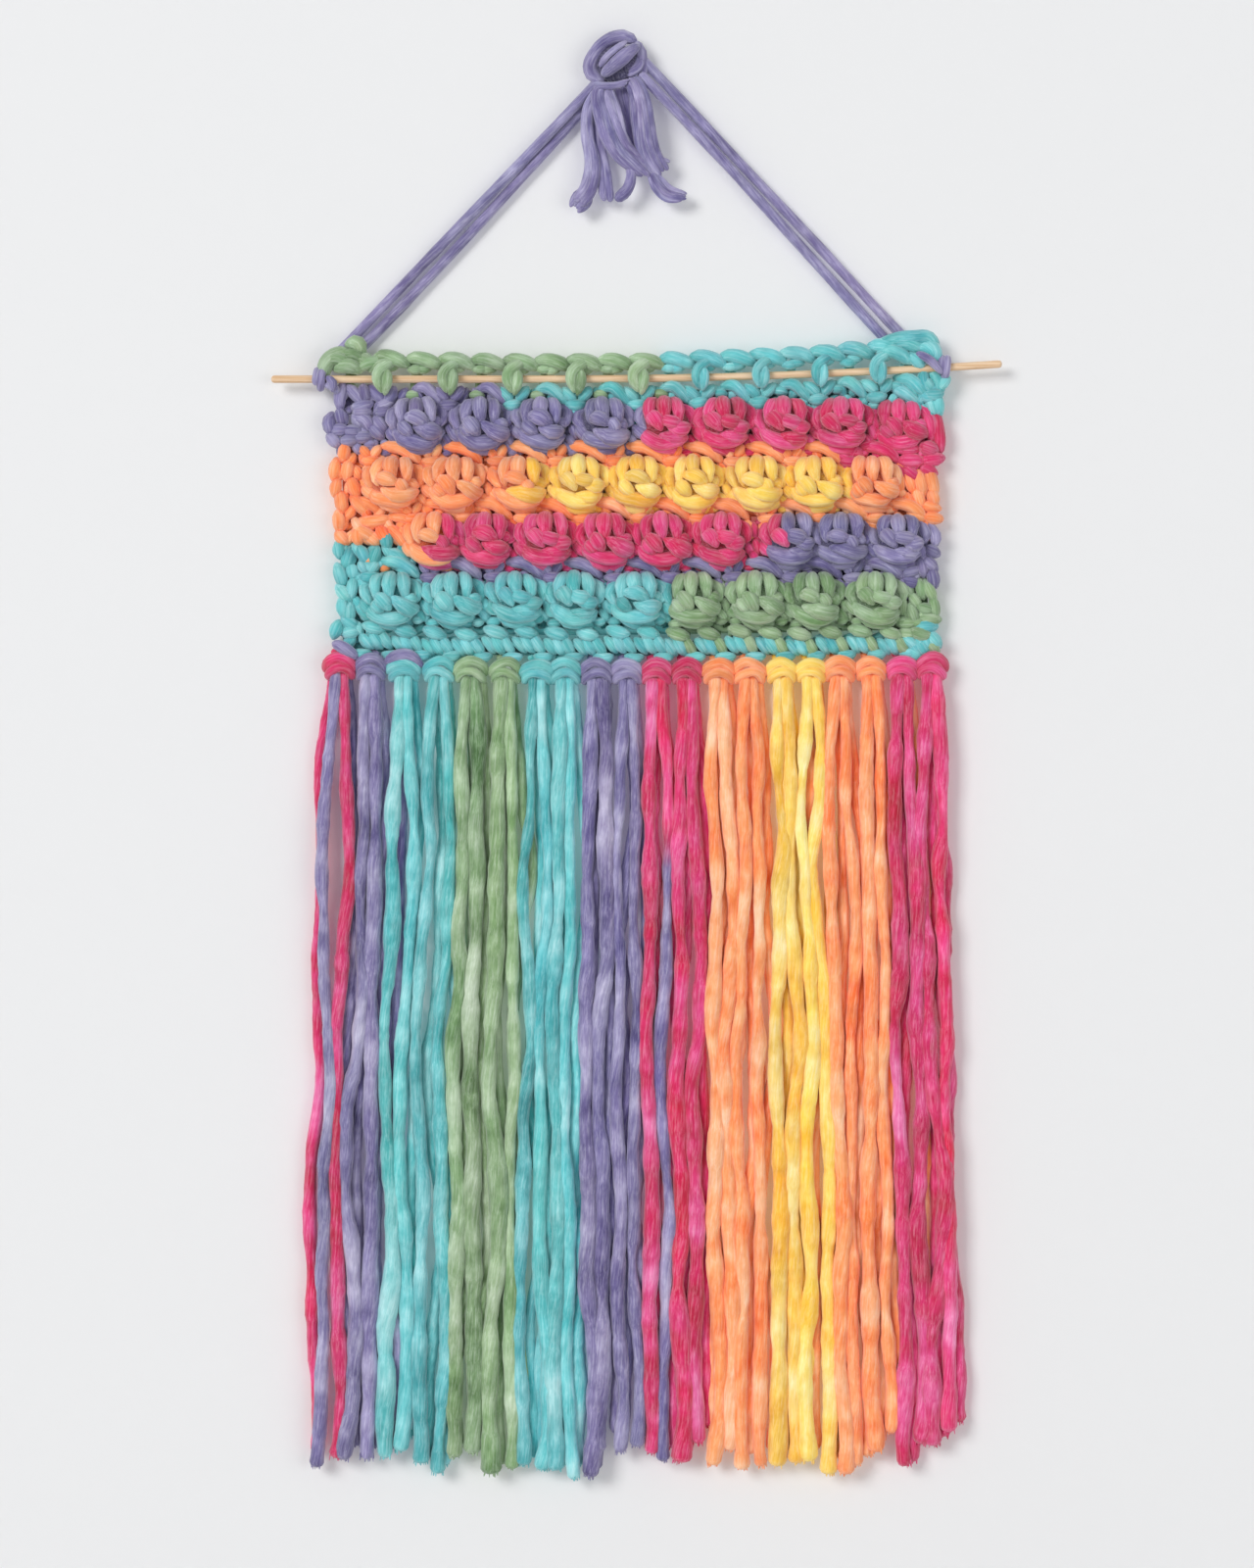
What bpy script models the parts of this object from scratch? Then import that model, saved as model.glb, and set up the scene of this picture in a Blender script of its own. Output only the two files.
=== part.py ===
"""Crochet wall hanging: a bobble stitch panel with a long yarn fringe, woven onto a thin wooden dowel.

Metres, +Z up. The front faces -Y and the wall is the plane y = 0. The origin is the point that the
big knot hangs from, so nearly everything lies below it.
"""

import math

import bmesh
import bpy
from mathutils import Vector

MM = 0.001
GAP = 0.3 * MM
"""Air between two pieces that touch on the real thing."""

DOWEL_DIAMETER = 3.2 * MM
DOWEL_LEFT = -145.1 * MM
DOWEL_RIGHT = 159.7 * MM
DOWEL_Y = -8.0 * MM
DOWEL_Z = -120.5 * MM
DOWEL_BEND_START = -30.0 * MM
DOWEL_BEND = 0.1773
"""The stick bows up to the right of DOWEL_BEND_START, by this much for each metre squared."""
DOWEL_STEPS = 16

POSTS = 20
FIRST_POST_X = -112.4 * MM
FIRST_PITCH = 13.9 * MM
PITCH_NARROWING = 0.0559 * MM
"""Posts of the top row stand a little closer together towards the right."""

STEPS_PER_STITCH = 4
COLUMNS = POSTS * STEPS_PER_STITCH
FIRST_COLUMN = -0.75
"""Where the panel's left edge lies, in stitches from the first post."""
POST_HALF_WIDTH = 0.25
"""In stitches. The rest of each stitch is open, above and below the dowel."""
LOWER_ROWS = 27
TOP_LINES = 4
ROWS = TOP_LINES + LOWER_ROWS

TOP_Z = -110.3 * MM
TOP_SAG = 0.29
TOP_SAG_X = -30.0 * MM
BAR_CLEARANCE = 3.1 * MM
"""From the dowel's axis to the chain above it, and to the first row below it."""
BOTTOM_Z = -235.5 * MM
BOTTOM_SAG = 2.3 * MM
PANEL_MIDDLE_X = 6.0 * MM
PANEL_HALF_WIDTH = 127.0 * MM

GROUND_DEPTH = 9.5 * MM
EDGE_DEPTH = 6.5 * MM
LEG_RELIEF = 1.0 * MM
COURSE_RELIEF = 1.0 * MM
COURSE_PITCH = 12.15 * MM
LEFT_EDGE_X = -120.2 * MM
RIGHT_EDGE_X = 132.6 * MM
HEADING_LEFT_X = -121.2 * MM
HEADING_RIGHT_X = 132.2 * MM
EDGE_WAVE = 1.1 * MM

BAR_BACK = -4.8 * MM
BAR_FRONT = -13.0 * MM
BAR_EDGE_BACK = -6.6 * MM
BAR_EDGE_FRONT = -10.6 * MM
FRONT_POST_FRONT = -15.4 * MM
BACK_POST_BACK = -0.5 * MM
HEADING_FRONT = -9.4 * MM
HEADING_BACK = -1.2 * MM

BOBBLE_HALF_WIDTH = 12.2 * MM
BOBBLE_HALF_HEIGHT = 11.4 * MM
BOBBLE_HEIGHT = 12.0 * MM
BOBBLE_ROUNDNESS = 0.55
BOBBLE_LOBE = 1.3 * MM
BOBBLE_LOBES = 3
BOBBLE_BRAID_TOP = -0.1
"""Below this share of its height, a bobble's yarns run across instead of down."""
BOBBLE_ROWS = (
    # height, bobble centres from left to right, in mm
    {"z": -138.9, "x": (-84.2, -57.6, -32.3, -6.1, 19.2, 44.1, 69.1, 92.8, 117.3)},
    {"z": -163.4, "x": (-94.0, -68.6, -41.3, -16.3, 7.8, 31.5, 57.6, 81.7, 105.4)},
    {"z": -187.1, "x": (-76.8, -55.6, -30.2, -5.7, 18.0, 42.5, 71.5, 92.8, 116.5)},
    {"z": -211.7, "x": (-94.8, -69.1, -42.5, -18.4, 7.4, 30.6, 57.2, 81.3, 107.1)},
)
GAP_ROW = 28
FIRST_GAP_COLUMN = 3
GAP_SPREAD = 0.75 * MM
GAP_SPREAD_UP = 0.35 * MM
"""Each small gap of the last plain row is widened by this much on each side of its cell."""
CORNER_GAPS = ((2, 5), (2, 6), (6, 5))
"""Column and row of the larger gaps below the dowel at the upper left."""

HEAD_WIDTH = 11.3 * MM
HEAD_HEIGHT = 10.5 * MM
FRINGE_BACK = -0.5 * MM
FRINGE_FRONT = -11.9 * MM
HEAD_PROFILE = ((0.35, 1.0), (0.78, 0.93), (1.0, 0.66))
"""Height up the knot's head and its width there, as shares of the full size."""
STRAND_INSET = 0.35 * MM
STRAND_STEPS = 6
FAN_MIDDLE_X = 6.9 * MM
FAN = 1.045
"""The fringe spreads from its middle by this much on its way down."""
SWAY = 1.1 * MM
SWAY_HEIGHT = 190.0 * MM
SWAY_WIDTH = 230.0 * MM
BACK_STRAND_SHORTER = 4.0 * MM
FRINGE = (
    # knot centre, lower ends of its left and right strands, in mm
    {"x": -116.5, "left": -574.1, "right": -570.4, "yarn": "magenta"},
    {"x": -103.8, "left": -570.8, "right": -570.8, "yarn": "purple"},
    {"x": -89.9, "left": -570.0, "right": -567.5, "yarn": "teal"},
    {"x": -75.2, "left": -572.4, "right": -576.9, "yarn": "teal"},
    {"x": -62.1, "left": -570.0, "right": -568.4, "yarn": "green"},
    {"x": -47.4, "left": -576.9, "right": -574.9, "yarn": "green"},
    {"x": -34.3, "left": -573.3, "right": -575.3, "yarn": "teal"},
    {"x": -22.5, "left": -575.3, "right": -579.0, "yarn": "teal"},
    {"x": -9.4, "left": -578.2, "right": -567.9, "yarn": "purple"},
    {"x": 3.3, "left": -567.9, "right": -565.5, "yarn": "purple"},
    {"x": 15.5, "left": -568.4, "right": -571.6, "yarn": "magenta"},
    {"x": 28.2, "left": -572.0, "right": -564.3, "yarn": "magenta"},
    {"x": 41.7, "left": -573.3, "right": -567.1, "yarn": "orange"},
    {"x": 54.3, "left": -574.9, "right": -573.7, "yarn": "orange"},
    {"x": 67.8, "left": -573.7, "right": -572.4, "yarn": "yellow"},
    {"x": 80.1, "left": -571.6, "right": -576.9, "yarn": "yellow"},
    {"x": 91.9, "left": -576.9, "right": -573.7, "yarn": "orange"},
    {"x": 105.0, "left": -567.9, "right": -559.8, "yarn": "orange"},
    {"x": 118.1, "left": -573.7, "right": -564.7, "yarn": "magenta"},
    {"x": 130.3, "left": -565.1, "right": -559.4, "yarn": "magenta"},
)

HANGER_DIAMETER = 3.8 * MM
HANGER_POINT_SPACING = 9.5 * MM
HANGERS = (
    # route of each yarn from the dowel or the top chain up into the big knot, in mm
    {"name": "hanger_left_outer", "route": (
        (-124.3, -3.2, -115.7), (-117.6, -2.3, -109.2), (-104.0, -2.6, -95.0), (-70.0, -3.6, -59.5),
        (-36.0, -5.0, -24.5), (-12.6, -6.7, -0.2), (-8.6, -7.0, 4.2))},
    {"name": "hanger_left_inner", "route": (
        (-112.2, -2.4, -110.2), (-109.0, -2.4, -107.6), (-100.0, -2.4, -99.0), (-66.0, -2.5, -63.0),
        (-33.0, -2.7, -27.0), (-10.4, -3.0, -2.2), (-5.0, -4.4, 4.6))},
    {"name": "hanger_right_outer", "route": (
        (135.2, -3.0, -110.6), (126.8, -2.2, -107.0), (119.2, -2.3, -102.4), (84.0, -3.2, -65.0),
        (50.0, -4.2, -29.2), (14.8, -5.8, 7.9), (9.0, -6.4, 13.6))},
    {"name": "hanger_right_inner", "route": (
        (115.0, -2.4, -107.0), (111.5, -2.4, -103.4), (78.0, -3.8, -66.8), (46.0, -5.4, -31.8),
        (14.2, -7.4, 1.4), (8.2, -7.8, 7.2))},
)

TIE_RADIUS = 3.45 * MM
TIE_HALF_WIDTH = 2.3 * MM
TIE_HALF_DEPTH = 1.5 * MM
TIES = ({"name": "tie_left", "x": -124.7}, {"name": "tie_right", "x": 135.6})

KNOT_CORE = {"centre": (-1.0, -7.8, 11.2), "half": (10.8, 6.4, 9.0)}
KNOT_YARNS = (
    # the knot's loop, crossing, collar and free tails, as a radius and a route, in mm
    {"name": "loop", "radius": 3.3, "route": (
        (-10.4, -7.0, 5.0), (-11.6, -7.5, 11.4), (-8.6, -8.0, 17.2), (-3.3, -8.2, 21.2),
        (3.3, -8.0, 22.6), (7.6, -7.6, 19.8), (9.0, -7.2, 14.6), (8.0, -7.0, 8.6))},
    {"name": "crossing", "radius": 3.9, "route": ((-6.6, -11.0, 6.0), (0.8, -12.4, 12.0), (7.6, -10.6, 18.4))},
    {"name": "collar", "radius": 3.2, "route": ((-10.2, -7.2, 4.4), (-3.0, -9.0, 2.4), (4.8, -8.4, 4.4))},
    {"name": "tail_far_left", "radius": 2.5, "route": (
        (-9.6, -8.6, 3.4), (-13.0, -10.4, -4.0), (-15.0, -10.0, -12.9), (-13.6, -9.0, -22.6),
        (-12.1, -8.4, -34.3), (-12.8, -8.6, -41.0), (-17.4, -9.0, -50.4))},
    {"name": "tail_left", "radius": 2.5, "route": (
        (-6.4, -8.4, 3.0), (-9.4, -8.0, -8.0), (-9.6, -5.6, -18.7), (-7.0, -5.0, -32.3),
        (-4.2, -5.6, -47.3))},
    {"name": "tail_middle", "radius": 3.5, "route": (
        (-5.4, -10.2, 3.4), (-5.4, -12.0, -8.0), (-2.7, -12.4, -19.5), (1.2, -11.6, -26.6),
        (7.9, -10.0, -32.4), (12.3, -9.0, -35.1))},
    {"name": "tail_curl", "radius": 1.9, "route": (
        (4.6, -10.4, -31.0), (5.2, -9.6, -37.0), (3.2, -9.0, -42.6), (-0.4, -9.0, -45.2))},
    {"name": "tail_right", "radius": 3.6, "route": (
        (5.6, -8.2, 4.6), (9.8, -12.4, -2.0), (11.0, -12.2, -10.0), (12.2, -11.0, -18.7),
        (14.5, -9.6, -28.5), (18.4, -8.6, -31.4))},
    {"name": "tail_far_right", "radius": 2.7, "route": (
        (15.0, -9.4, -28.6), (17.2, -8.6, -36.0), (20.4, -8.2, -41.0), (26.4, -8.0, -44.0))},
)
KNOT_POINT_SPACING = 6.0 * MM
KNOT_BEVEL_RESOLUTION = 1
HANGER_BEVEL_RESOLUTION = 2
DOWEL_BEVEL_RESOLUTION = 4
SMOOTHING_STEPS = 24

YARN_COLOURS = {
    "teal": (0.13, 0.60, 0.60),
    "purple": (0.22, 0.19, 0.42),
    "magenta": (0.60, 0.02, 0.15),
    "orange": (1.0, 0.29, 0.11),
    "yellow": (0.95, 0.66, 0.10),
    "green": (0.27, 0.42, 0.17),
}
WOOD_COLOUR = (0.78, 0.58, 0.38)


def clear_scene():
    """Remove everything that the file opened with."""
    for obj in list(bpy.data.objects):
        bpy.data.objects.remove(obj)


def material(name, colour, roughness):
    """A plain Principled material."""
    made = bpy.data.materials.new(name)
    made.use_nodes = True
    shader = made.node_tree.nodes["Principled BSDF"]
    shader.inputs["Base Color"].default_value = (*colour, 1.0)
    shader.inputs["Roughness"].default_value = roughness
    shader.inputs["Metallic"].default_value = 0.0
    return made


def extrude(bm, faces, keep=False):
    """Extrude a region of faces, and return its new verts and faces."""
    made = bmesh.ops.extrude_face_region(bm, geom=faces)["geom"]
    if not keep:
        bmesh.ops.delete(bm, geom=faces, context="FACES_ONLY")
    verts = [item for item in made if isinstance(item, bmesh.types.BMVert)]
    return verts, [item for item in made if isinstance(item, bmesh.types.BMFace)]


def place(name, data, finish):
    """Put a mesh or curve into the scene under its part's name."""
    obj = bpy.data.objects.new(name, data)
    data.materials.append(finish)
    bpy.context.collection.objects.link(obj)
    return obj


def mesh_from(bm, name):
    """Turn a bmesh into a mesh and free it."""
    bmesh.ops.recalc_face_normals(bm, faces=bm.faces)
    data = bpy.data.meshes.new(name)
    bm.to_mesh(data)
    bm.free()
    return data


def millimetres(point):
    """A point given in millimetres, as a vector in metres."""
    return Vector(point) * MM


def smooth_route(points, spacing):
    """Points at an even spacing along a smooth curve through the given ones."""
    ends = [2 * points[0] - points[1], *points, 2 * points[-1] - points[-2]]
    fine = []
    for a, b, c, d in zip(ends, ends[1:], ends[2:], ends[3:]):
        for step in range(SMOOTHING_STEPS):
            t = step / SMOOTHING_STEPS
            fine.append(0.5 * (2 * b + (c - a) * t + (2 * a - 5 * b + 4 * c - d) * t * t
                               + (3 * b - 3 * c + d - a) * t ** 3))
    fine.append(points[-1])
    lengths = [0.0]
    for start, end in zip(fine, fine[1:]):
        lengths.append(lengths[-1] + (end - start).length)
    count = max(2, round(lengths[-1] / spacing))
    even = []
    index = 0
    for number in range(count + 1):
        wanted = lengths[-1] * number / count
        while index < len(fine) - 2 and lengths[index + 1] < wanted:
            index += 1
        share = (wanted - lengths[index]) / (lengths[index + 1] - lengths[index])
        even.append(fine[index].lerp(fine[index + 1], min(1.0, share)))
    return even


def tube_curve(name, points, radius, resolution):
    """A curve with a round bevel and filled caps."""
    curve = bpy.data.curves.new(name, "CURVE")
    curve.dimensions = "3D"
    curve.bevel_depth = radius
    curve.bevel_resolution = resolution
    curve.use_fill_caps = True
    spline = curve.splines.new("POLY")
    spline.points.add(len(points) - 1)
    for target, point in zip(spline.points, points):
        target.co = (*point, 1.0)
    spline.use_smooth = True
    return curve


def dowel_z(x):
    """Height of the dowel's axis: straight at the left and bowed up at the right."""
    return DOWEL_Z + DOWEL_BEND * max(0.0, x - DOWEL_BEND_START) ** 2


def top_z(x):
    """The chain along the top sags between the panel's corners."""
    return TOP_Z + TOP_SAG * (x - TOP_SAG_X) ** 2


def bottom_z(x):
    """The lower edge is pulled down a little in the middle by the fringe."""
    return BOTTOM_Z - BOTTOM_SAG * (1.0 - ((x - PANEL_MIDDLE_X) / PANEL_HALF_WIDTH) ** 2)


def stitch_x(stitch):
    """Sideways place of a stitch, counted from the first post."""
    return FIRST_POST_X + FIRST_PITCH * stitch - PITCH_NARROWING * stitch * stitch


def build_dowel():
    """The wooden stick, with both ends showing beyond the panel."""
    points = []
    for step in range(DOWEL_STEPS + 1):
        x = DOWEL_LEFT + (DOWEL_RIGHT - DOWEL_LEFT) * step / DOWEL_STEPS
        points.append(Vector((x, DOWEL_Y, dowel_z(x))))
    curve = tube_curve("dowel", points, DOWEL_DIAMETER / 2, DOWEL_BEVEL_RESOLUTION)
    return place("dowel", curve, material("birch", WOOD_COLOUR, 0.55))


def line_z(x, line):
    """Height of one of the panel's grid lines at a place along the row."""
    below_dowel = dowel_z(x) - BAR_CLEARANCE
    above_dowel = dowel_z(x) + BAR_CLEARANCE
    heading = (top_z(x), (top_z(x) + above_dowel) / 2, above_dowel, dowel_z(x), below_dowel)
    if line <= TOP_LINES:
        return heading[line]
    share = (line - TOP_LINES) / LOWER_ROWS
    return below_dowel + (bottom_z(x) - below_dowel) * share


def edge_x(column, line, z):
    """The side edges bulge beside each bobble row and draw in between."""
    wave = EDGE_WAVE * math.cos(math.pi * (z - BOBBLE_ROWS[0]["z"] * MM) / COURSE_PITCH)
    if line <= TOP_LINES:
        return HEADING_LEFT_X if column == 0 else HEADING_RIGHT_X
    return LEFT_EDGE_X - wave if column == 0 else RIGHT_EDGE_X + wave


def bobble_relief(x, z):
    """How far the bobbles stand out of the ground at one point."""
    best = 0.0
    for row in BOBBLE_ROWS:
        across_rows = (z - row["z"] * MM) / BOBBLE_HALF_HEIGHT
        if abs(across_rows) >= 1.0:
            continue
        for centre in row["x"]:
            along = (x - centre * MM) / BOBBLE_HALF_WIDTH
            reach = along * along + across_rows * across_rows
            if reach >= 1.0:
                continue
            lobe_place = along if across_rows > BOBBLE_BRAID_TOP else across_rows
            lobe = BOBBLE_LOBE * math.cos(BOBBLE_LOBES * math.pi * lobe_place) * (1.0 - reach)
            best = max(best, BOBBLE_HEIGHT * (1.0 - reach) ** BOBBLE_ROUNDNESS + lobe)
    return best


def front_and_back(column, line, x, z):
    """Distance of the panel's front and back from the wall at one grid point."""
    stitch = FIRST_COLUMN + column / STEPS_PER_STITCH
    nearest = round(stitch)
    at_edge = column in (0, COLUMNS)
    on_post = abs(stitch - nearest) <= POST_HALF_WIDTH and 0 <= nearest < POSTS
    if line < 2:
        if line == 0 or at_edge:
            return BAR_EDGE_FRONT, BAR_EDGE_BACK
        return BAR_FRONT, BAR_BACK
    if line <= TOP_LINES:
        if on_post and nearest % 2 == 1:
            return FRONT_POST_FRONT, DOWEL_Y - DOWEL_DIAMETER / 2 - GAP
        if on_post:
            return DOWEL_Y + DOWEL_DIAMETER / 2 + GAP, BACK_POST_BACK
        if at_edge and line == 2:
            return BAR_EDGE_FRONT, BAR_EDGE_BACK
        return (BAR_EDGE_FRONT, BAR_BACK) if line == 2 else (HEADING_FRONT, HEADING_BACK)
    if at_edge or line == ROWS:
        return -EDGE_DEPTH, 0.0
    legs = LEG_RELIEF * math.cos(4 * math.pi * stitch)
    course = COURSE_RELIEF * math.cos(2 * math.pi * (z - BOBBLE_ROWS[0]["z"] * MM) / COURSE_PITCH)
    bobble = bobble_relief(x, z)
    ground = GROUND_DEPTH + (legs + course) * (0.0 if bobble else 1.0)
    return -(ground + bobble), 0.0


def is_gap(column, row):
    """Whether the cell is open between the yarns."""
    stitch = FIRST_COLUMN + (column + 0.5) / STEPS_PER_STITCH
    nearest = round(stitch)
    if 2 <= row < TOP_LINES:
        return abs(stitch - nearest) > POST_HALF_WIDTH
    if row == GAP_ROW:
        return (column - FIRST_GAP_COLUMN) % STEPS_PER_STITCH == 0
    return (column, row) in CORNER_GAPS


def build_panel():
    """The crochet as one piece: flat at the wall, with its stitches raised on the front."""
    bm = bmesh.new()
    bmesh.ops.create_grid(bm, x_segments=COLUMNS, y_segments=ROWS, size=1.0)
    column_of = bm.verts.layers.int.new("column")
    line_of = bm.verts.layers.int.new("line")
    for vert in bm.verts:
        vert[column_of] = round((vert.co.x + 1.0) / 2.0 * COLUMNS)
        vert[line_of] = round((1.0 - vert.co.y) / 2.0 * ROWS)

    open_cells = []
    for face in bm.faces:
        column = min(vert[column_of] for vert in face.verts)
        row = min(vert[line_of] for vert in face.verts)
        if is_gap(column, row):
            open_cells.append(face)
            for vert in face.verts:
                vert.tag = row == GAP_ROW
    bmesh.ops.delete(bm, geom=open_cells, context="FACES")

    pulls = {}
    for vert in bm.verts:
        if vert.tag and 0 < vert[column_of] < COLUMNS:
            outward = -1.0 if (vert[column_of] - FIRST_GAP_COLUMN) % STEPS_PER_STITCH == 0 else 1.0
            upward = 1.0 if vert[line_of] == GAP_ROW else -1.0
            pulls[(vert[column_of], vert[line_of])] = (outward * GAP_SPREAD, upward * GAP_SPREAD_UP)

    back_verts = set(extrude(bm, bm.faces[:], keep=True)[0])
    for vert in bm.verts:
        column = vert[column_of]
        line = vert[line_of]
        x = stitch_x(FIRST_COLUMN + column / STEPS_PER_STITCH)
        z = line_z(x, line)
        if column in (0, COLUMNS):
            x = edge_x(column, line, z)
        front, back = front_and_back(column, line, x, z)
        pull_x, pull_z = pulls.get((column, line), (0.0, 0.0))
        vert.co = Vector((x + pull_x, back if vert in back_verts else front, z + pull_z))

    flat = [edge for edge in bm.edges
            if all(vert.co.y == 0.0 for vert in edge.verts)
            and all(all(vert.co.y == 0.0 for vert in face.verts) for face in edge.link_faces)]
    bmesh.ops.dissolve_limit(bm, angle_limit=0.001, use_dissolve_boundaries=False, verts=[],
                             edges=flat, delimit=set())
    data = mesh_from(bm, "crochet_panel")
    return place("crochet_panel", data, material("crochet yarn", YARN_COLOURS["orange"], 0.9))


def strand_x(start_x, z, end_z, start_z):
    """Sideways place of a strand: it fans out on its way down and sways with its neighbours."""
    share = (start_z - z) / (start_z - end_z)
    fanned = FAN_MIDDLE_X + (start_x - FAN_MIDDLE_X) * (1.0 + (FAN - 1.0) * share)
    sway = SWAY * math.sin(2 * math.pi * (z / SWAY_HEIGHT + start_x / SWAY_WIDTH)) * math.sqrt(share)
    return fanned + sway


def build_fringe(number, knot, finish):
    """A lark's head knot at the panel's lower edge, with its four strands hanging from it."""
    x = knot["x"] * MM
    middle_y = (FRINGE_FRONT + FRINGE_BACK) / 2
    edges = (x - HEAD_WIDTH / 2, x, x + HEAD_WIDTH / 2)
    head_top = min(bottom_z(edge) for edge in edges) - GAP
    head_bottom = head_top - HEAD_HEIGHT

    bm = bmesh.new()
    bmesh.ops.create_grid(bm, x_segments=2, y_segments=2, size=0.5)
    bmesh.ops.scale(bm, vec=(HEAD_WIDTH, FRINGE_BACK - FRINGE_FRONT, 1.0), verts=bm.verts)
    bmesh.ops.translate(bm, vec=(x, middle_y, head_bottom), verts=bm.verts)
    bottom = bm.faces[:]
    region = bm.faces[:]
    height = 0.0
    width = 1.0
    for next_height, next_width in HEAD_PROFILE:
        verts, region = extrude(bm, region, keep=height == 0.0)
        for vert in verts:
            vert.co.x = x + (vert.co.x - x) * next_width / width
            vert.co.y = middle_y + (vert.co.y - middle_y) * next_width / width
            vert.co.z += (next_height - height) * HEAD_HEIGHT
        height = next_height
        width = next_width

    bmesh.ops.inset_individual(bm, faces=bottom, thickness=STRAND_INSET)
    for face in bottom:
        centre = face.calc_center_median()
        in_front = centre.y < middle_y
        tip = (knot["left"] if centre.x < x else knot["right"]) * MM
        if not in_front:
            tip += BACK_STRAND_SHORTER
        here = centre
        for step in range(1, STRAND_STEPS + 1):
            z = head_bottom + (tip - head_bottom) * step / STRAND_STEPS
            there = Vector((strand_x(centre.x, z, tip, head_bottom), centre.y, z))
            verts, faces = extrude(bm, [face])
            face = faces[0]
            bmesh.ops.translate(bm, vec=there - here, verts=verts)
            here = there
    name = f"fringe_{number:02d}"
    return place(name, mesh_from(bm, name), finish)


def build_hangers(finish):
    """The taut yarns, two side by side on each side."""
    for hanger in HANGERS:
        points = smooth_route([millimetres(point) for point in hanger["route"]], HANGER_POINT_SPACING)
        curve = tube_curve(hanger["name"], points, HANGER_DIAMETER / 2, HANGER_BEVEL_RESOLUTION)
        place(hanger["name"], curve, finish)


def build_tie(tie, finish):
    """The hanger yarn's turns round the dowel, as one ring."""
    x = tie["x"] * MM
    axis = Vector((x, DOWEL_Y, dowel_z(x)))
    bm = bmesh.new()
    bmesh.ops.create_circle(bm, cap_ends=False, segments=8, radius=1.0)
    bmesh.ops.scale(bm, vec=(TIE_HALF_WIDTH, TIE_HALF_DEPTH, 1.0), verts=bm.verts)
    bmesh.ops.translate(bm, vec=axis + Vector((0.0, TIE_RADIUS, 0.0)), verts=bm.verts)
    bmesh.ops.spin(bm, geom=bm.verts[:] + bm.edges[:], cent=axis, axis=(1.0, 0.0, 0.0),
                   angle=2 * math.pi, steps=14, use_merge=True)
    return place(tie["name"], mesh_from(bm, tie["name"]), finish)


def guide_tube(name, points, radius):
    """A capped tube that another piece is joined with or cut by, and that isn't a part itself."""
    curve = tube_curve(name, points, radius, KNOT_BEVEL_RESOLUTION)
    source = bpy.data.objects.new(name, curve)
    bpy.context.collection.objects.link(source)
    bpy.context.view_layer.update()
    evaluated = source.evaluated_get(bpy.context.evaluated_depsgraph_get())
    data = bpy.data.meshes.new_from_object(evaluated)
    bpy.data.objects.remove(source)
    guide = bpy.data.objects.new(f"guide_{name}", data)
    guide.hide_render = True
    guide.display_type = "WIRE"
    bpy.context.collection.objects.link(guide)
    return guide


def combine(target, tool, operation):
    """Add an exact Boolean to a piece."""
    modifier = target.modifiers.new(tool.name, "BOOLEAN")
    modifier.operation = operation
    modifier.object = tool
    modifier.solver = "EXACT"


def build_hanging_knot(finish):
    """The big knot with its loop and free tails, and sockets where the four hanger yarns enter."""
    bm = bmesh.new()
    bmesh.ops.create_uvsphere(bm, u_segments=10, v_segments=6, radius=1.0)
    bmesh.ops.scale(bm, vec=millimetres(KNOT_CORE["half"]), verts=bm.verts)
    bmesh.ops.translate(bm, vec=millimetres(KNOT_CORE["centre"]), verts=bm.verts)
    knot = place("hanging_knot", mesh_from(bm, "hanging_knot"), finish)
    for yarn in KNOT_YARNS:
        points = smooth_route([millimetres(point) for point in yarn["route"]], KNOT_POINT_SPACING)
        combine(knot, guide_tube(yarn["name"], points, yarn["radius"] * MM), "UNION")
    for hanger in HANGERS:
        route = [millimetres(point) for point in hanger["route"][-3:]]
        points = smooth_route(route, HANGER_POINT_SPACING)
        points[-1] += (points[-1] - points[-2]).normalized() * GAP
        socket = guide_tube(f"socket_{hanger['name']}", points, HANGER_DIAMETER / 2 + GAP)
        combine(knot, socket, "DIFFERENCE")
    return knot


def main():
    """Build the whole hanging."""
    clear_scene()
    yarns = {name: material(f"{name} yarn", colour, 0.9) for name, colour in YARN_COLOURS.items()}
    build_dowel()
    build_panel()
    for number, knot in enumerate(FRINGE, start=1):
        build_fringe(number, knot, yarns[knot["yarn"]])
    build_hangers(yarns["purple"])
    for tie in TIES:
        build_tie(tie, yarns["purple"])
    build_hanging_knot(yarns["purple"])


main()
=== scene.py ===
"""Looks of the crochet wall hanging: bobbles, plain rows and a long fringe of soft yarn on a thin birch dowel.

The front faces -Y, the wall is the plane y = 0 and the origin is the point that the big knot hangs from.
Points and sizes are written in millimetres, and each mesh is made in metres.
"""

from __future__ import annotations

import logging
import math
import random
from bisect import bisect_left
from collections.abc import Sequence
from dataclasses import dataclass, field
from enum import Enum
from typing import NamedTuple

import bmesh
import bpy
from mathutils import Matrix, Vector, noise

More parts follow.
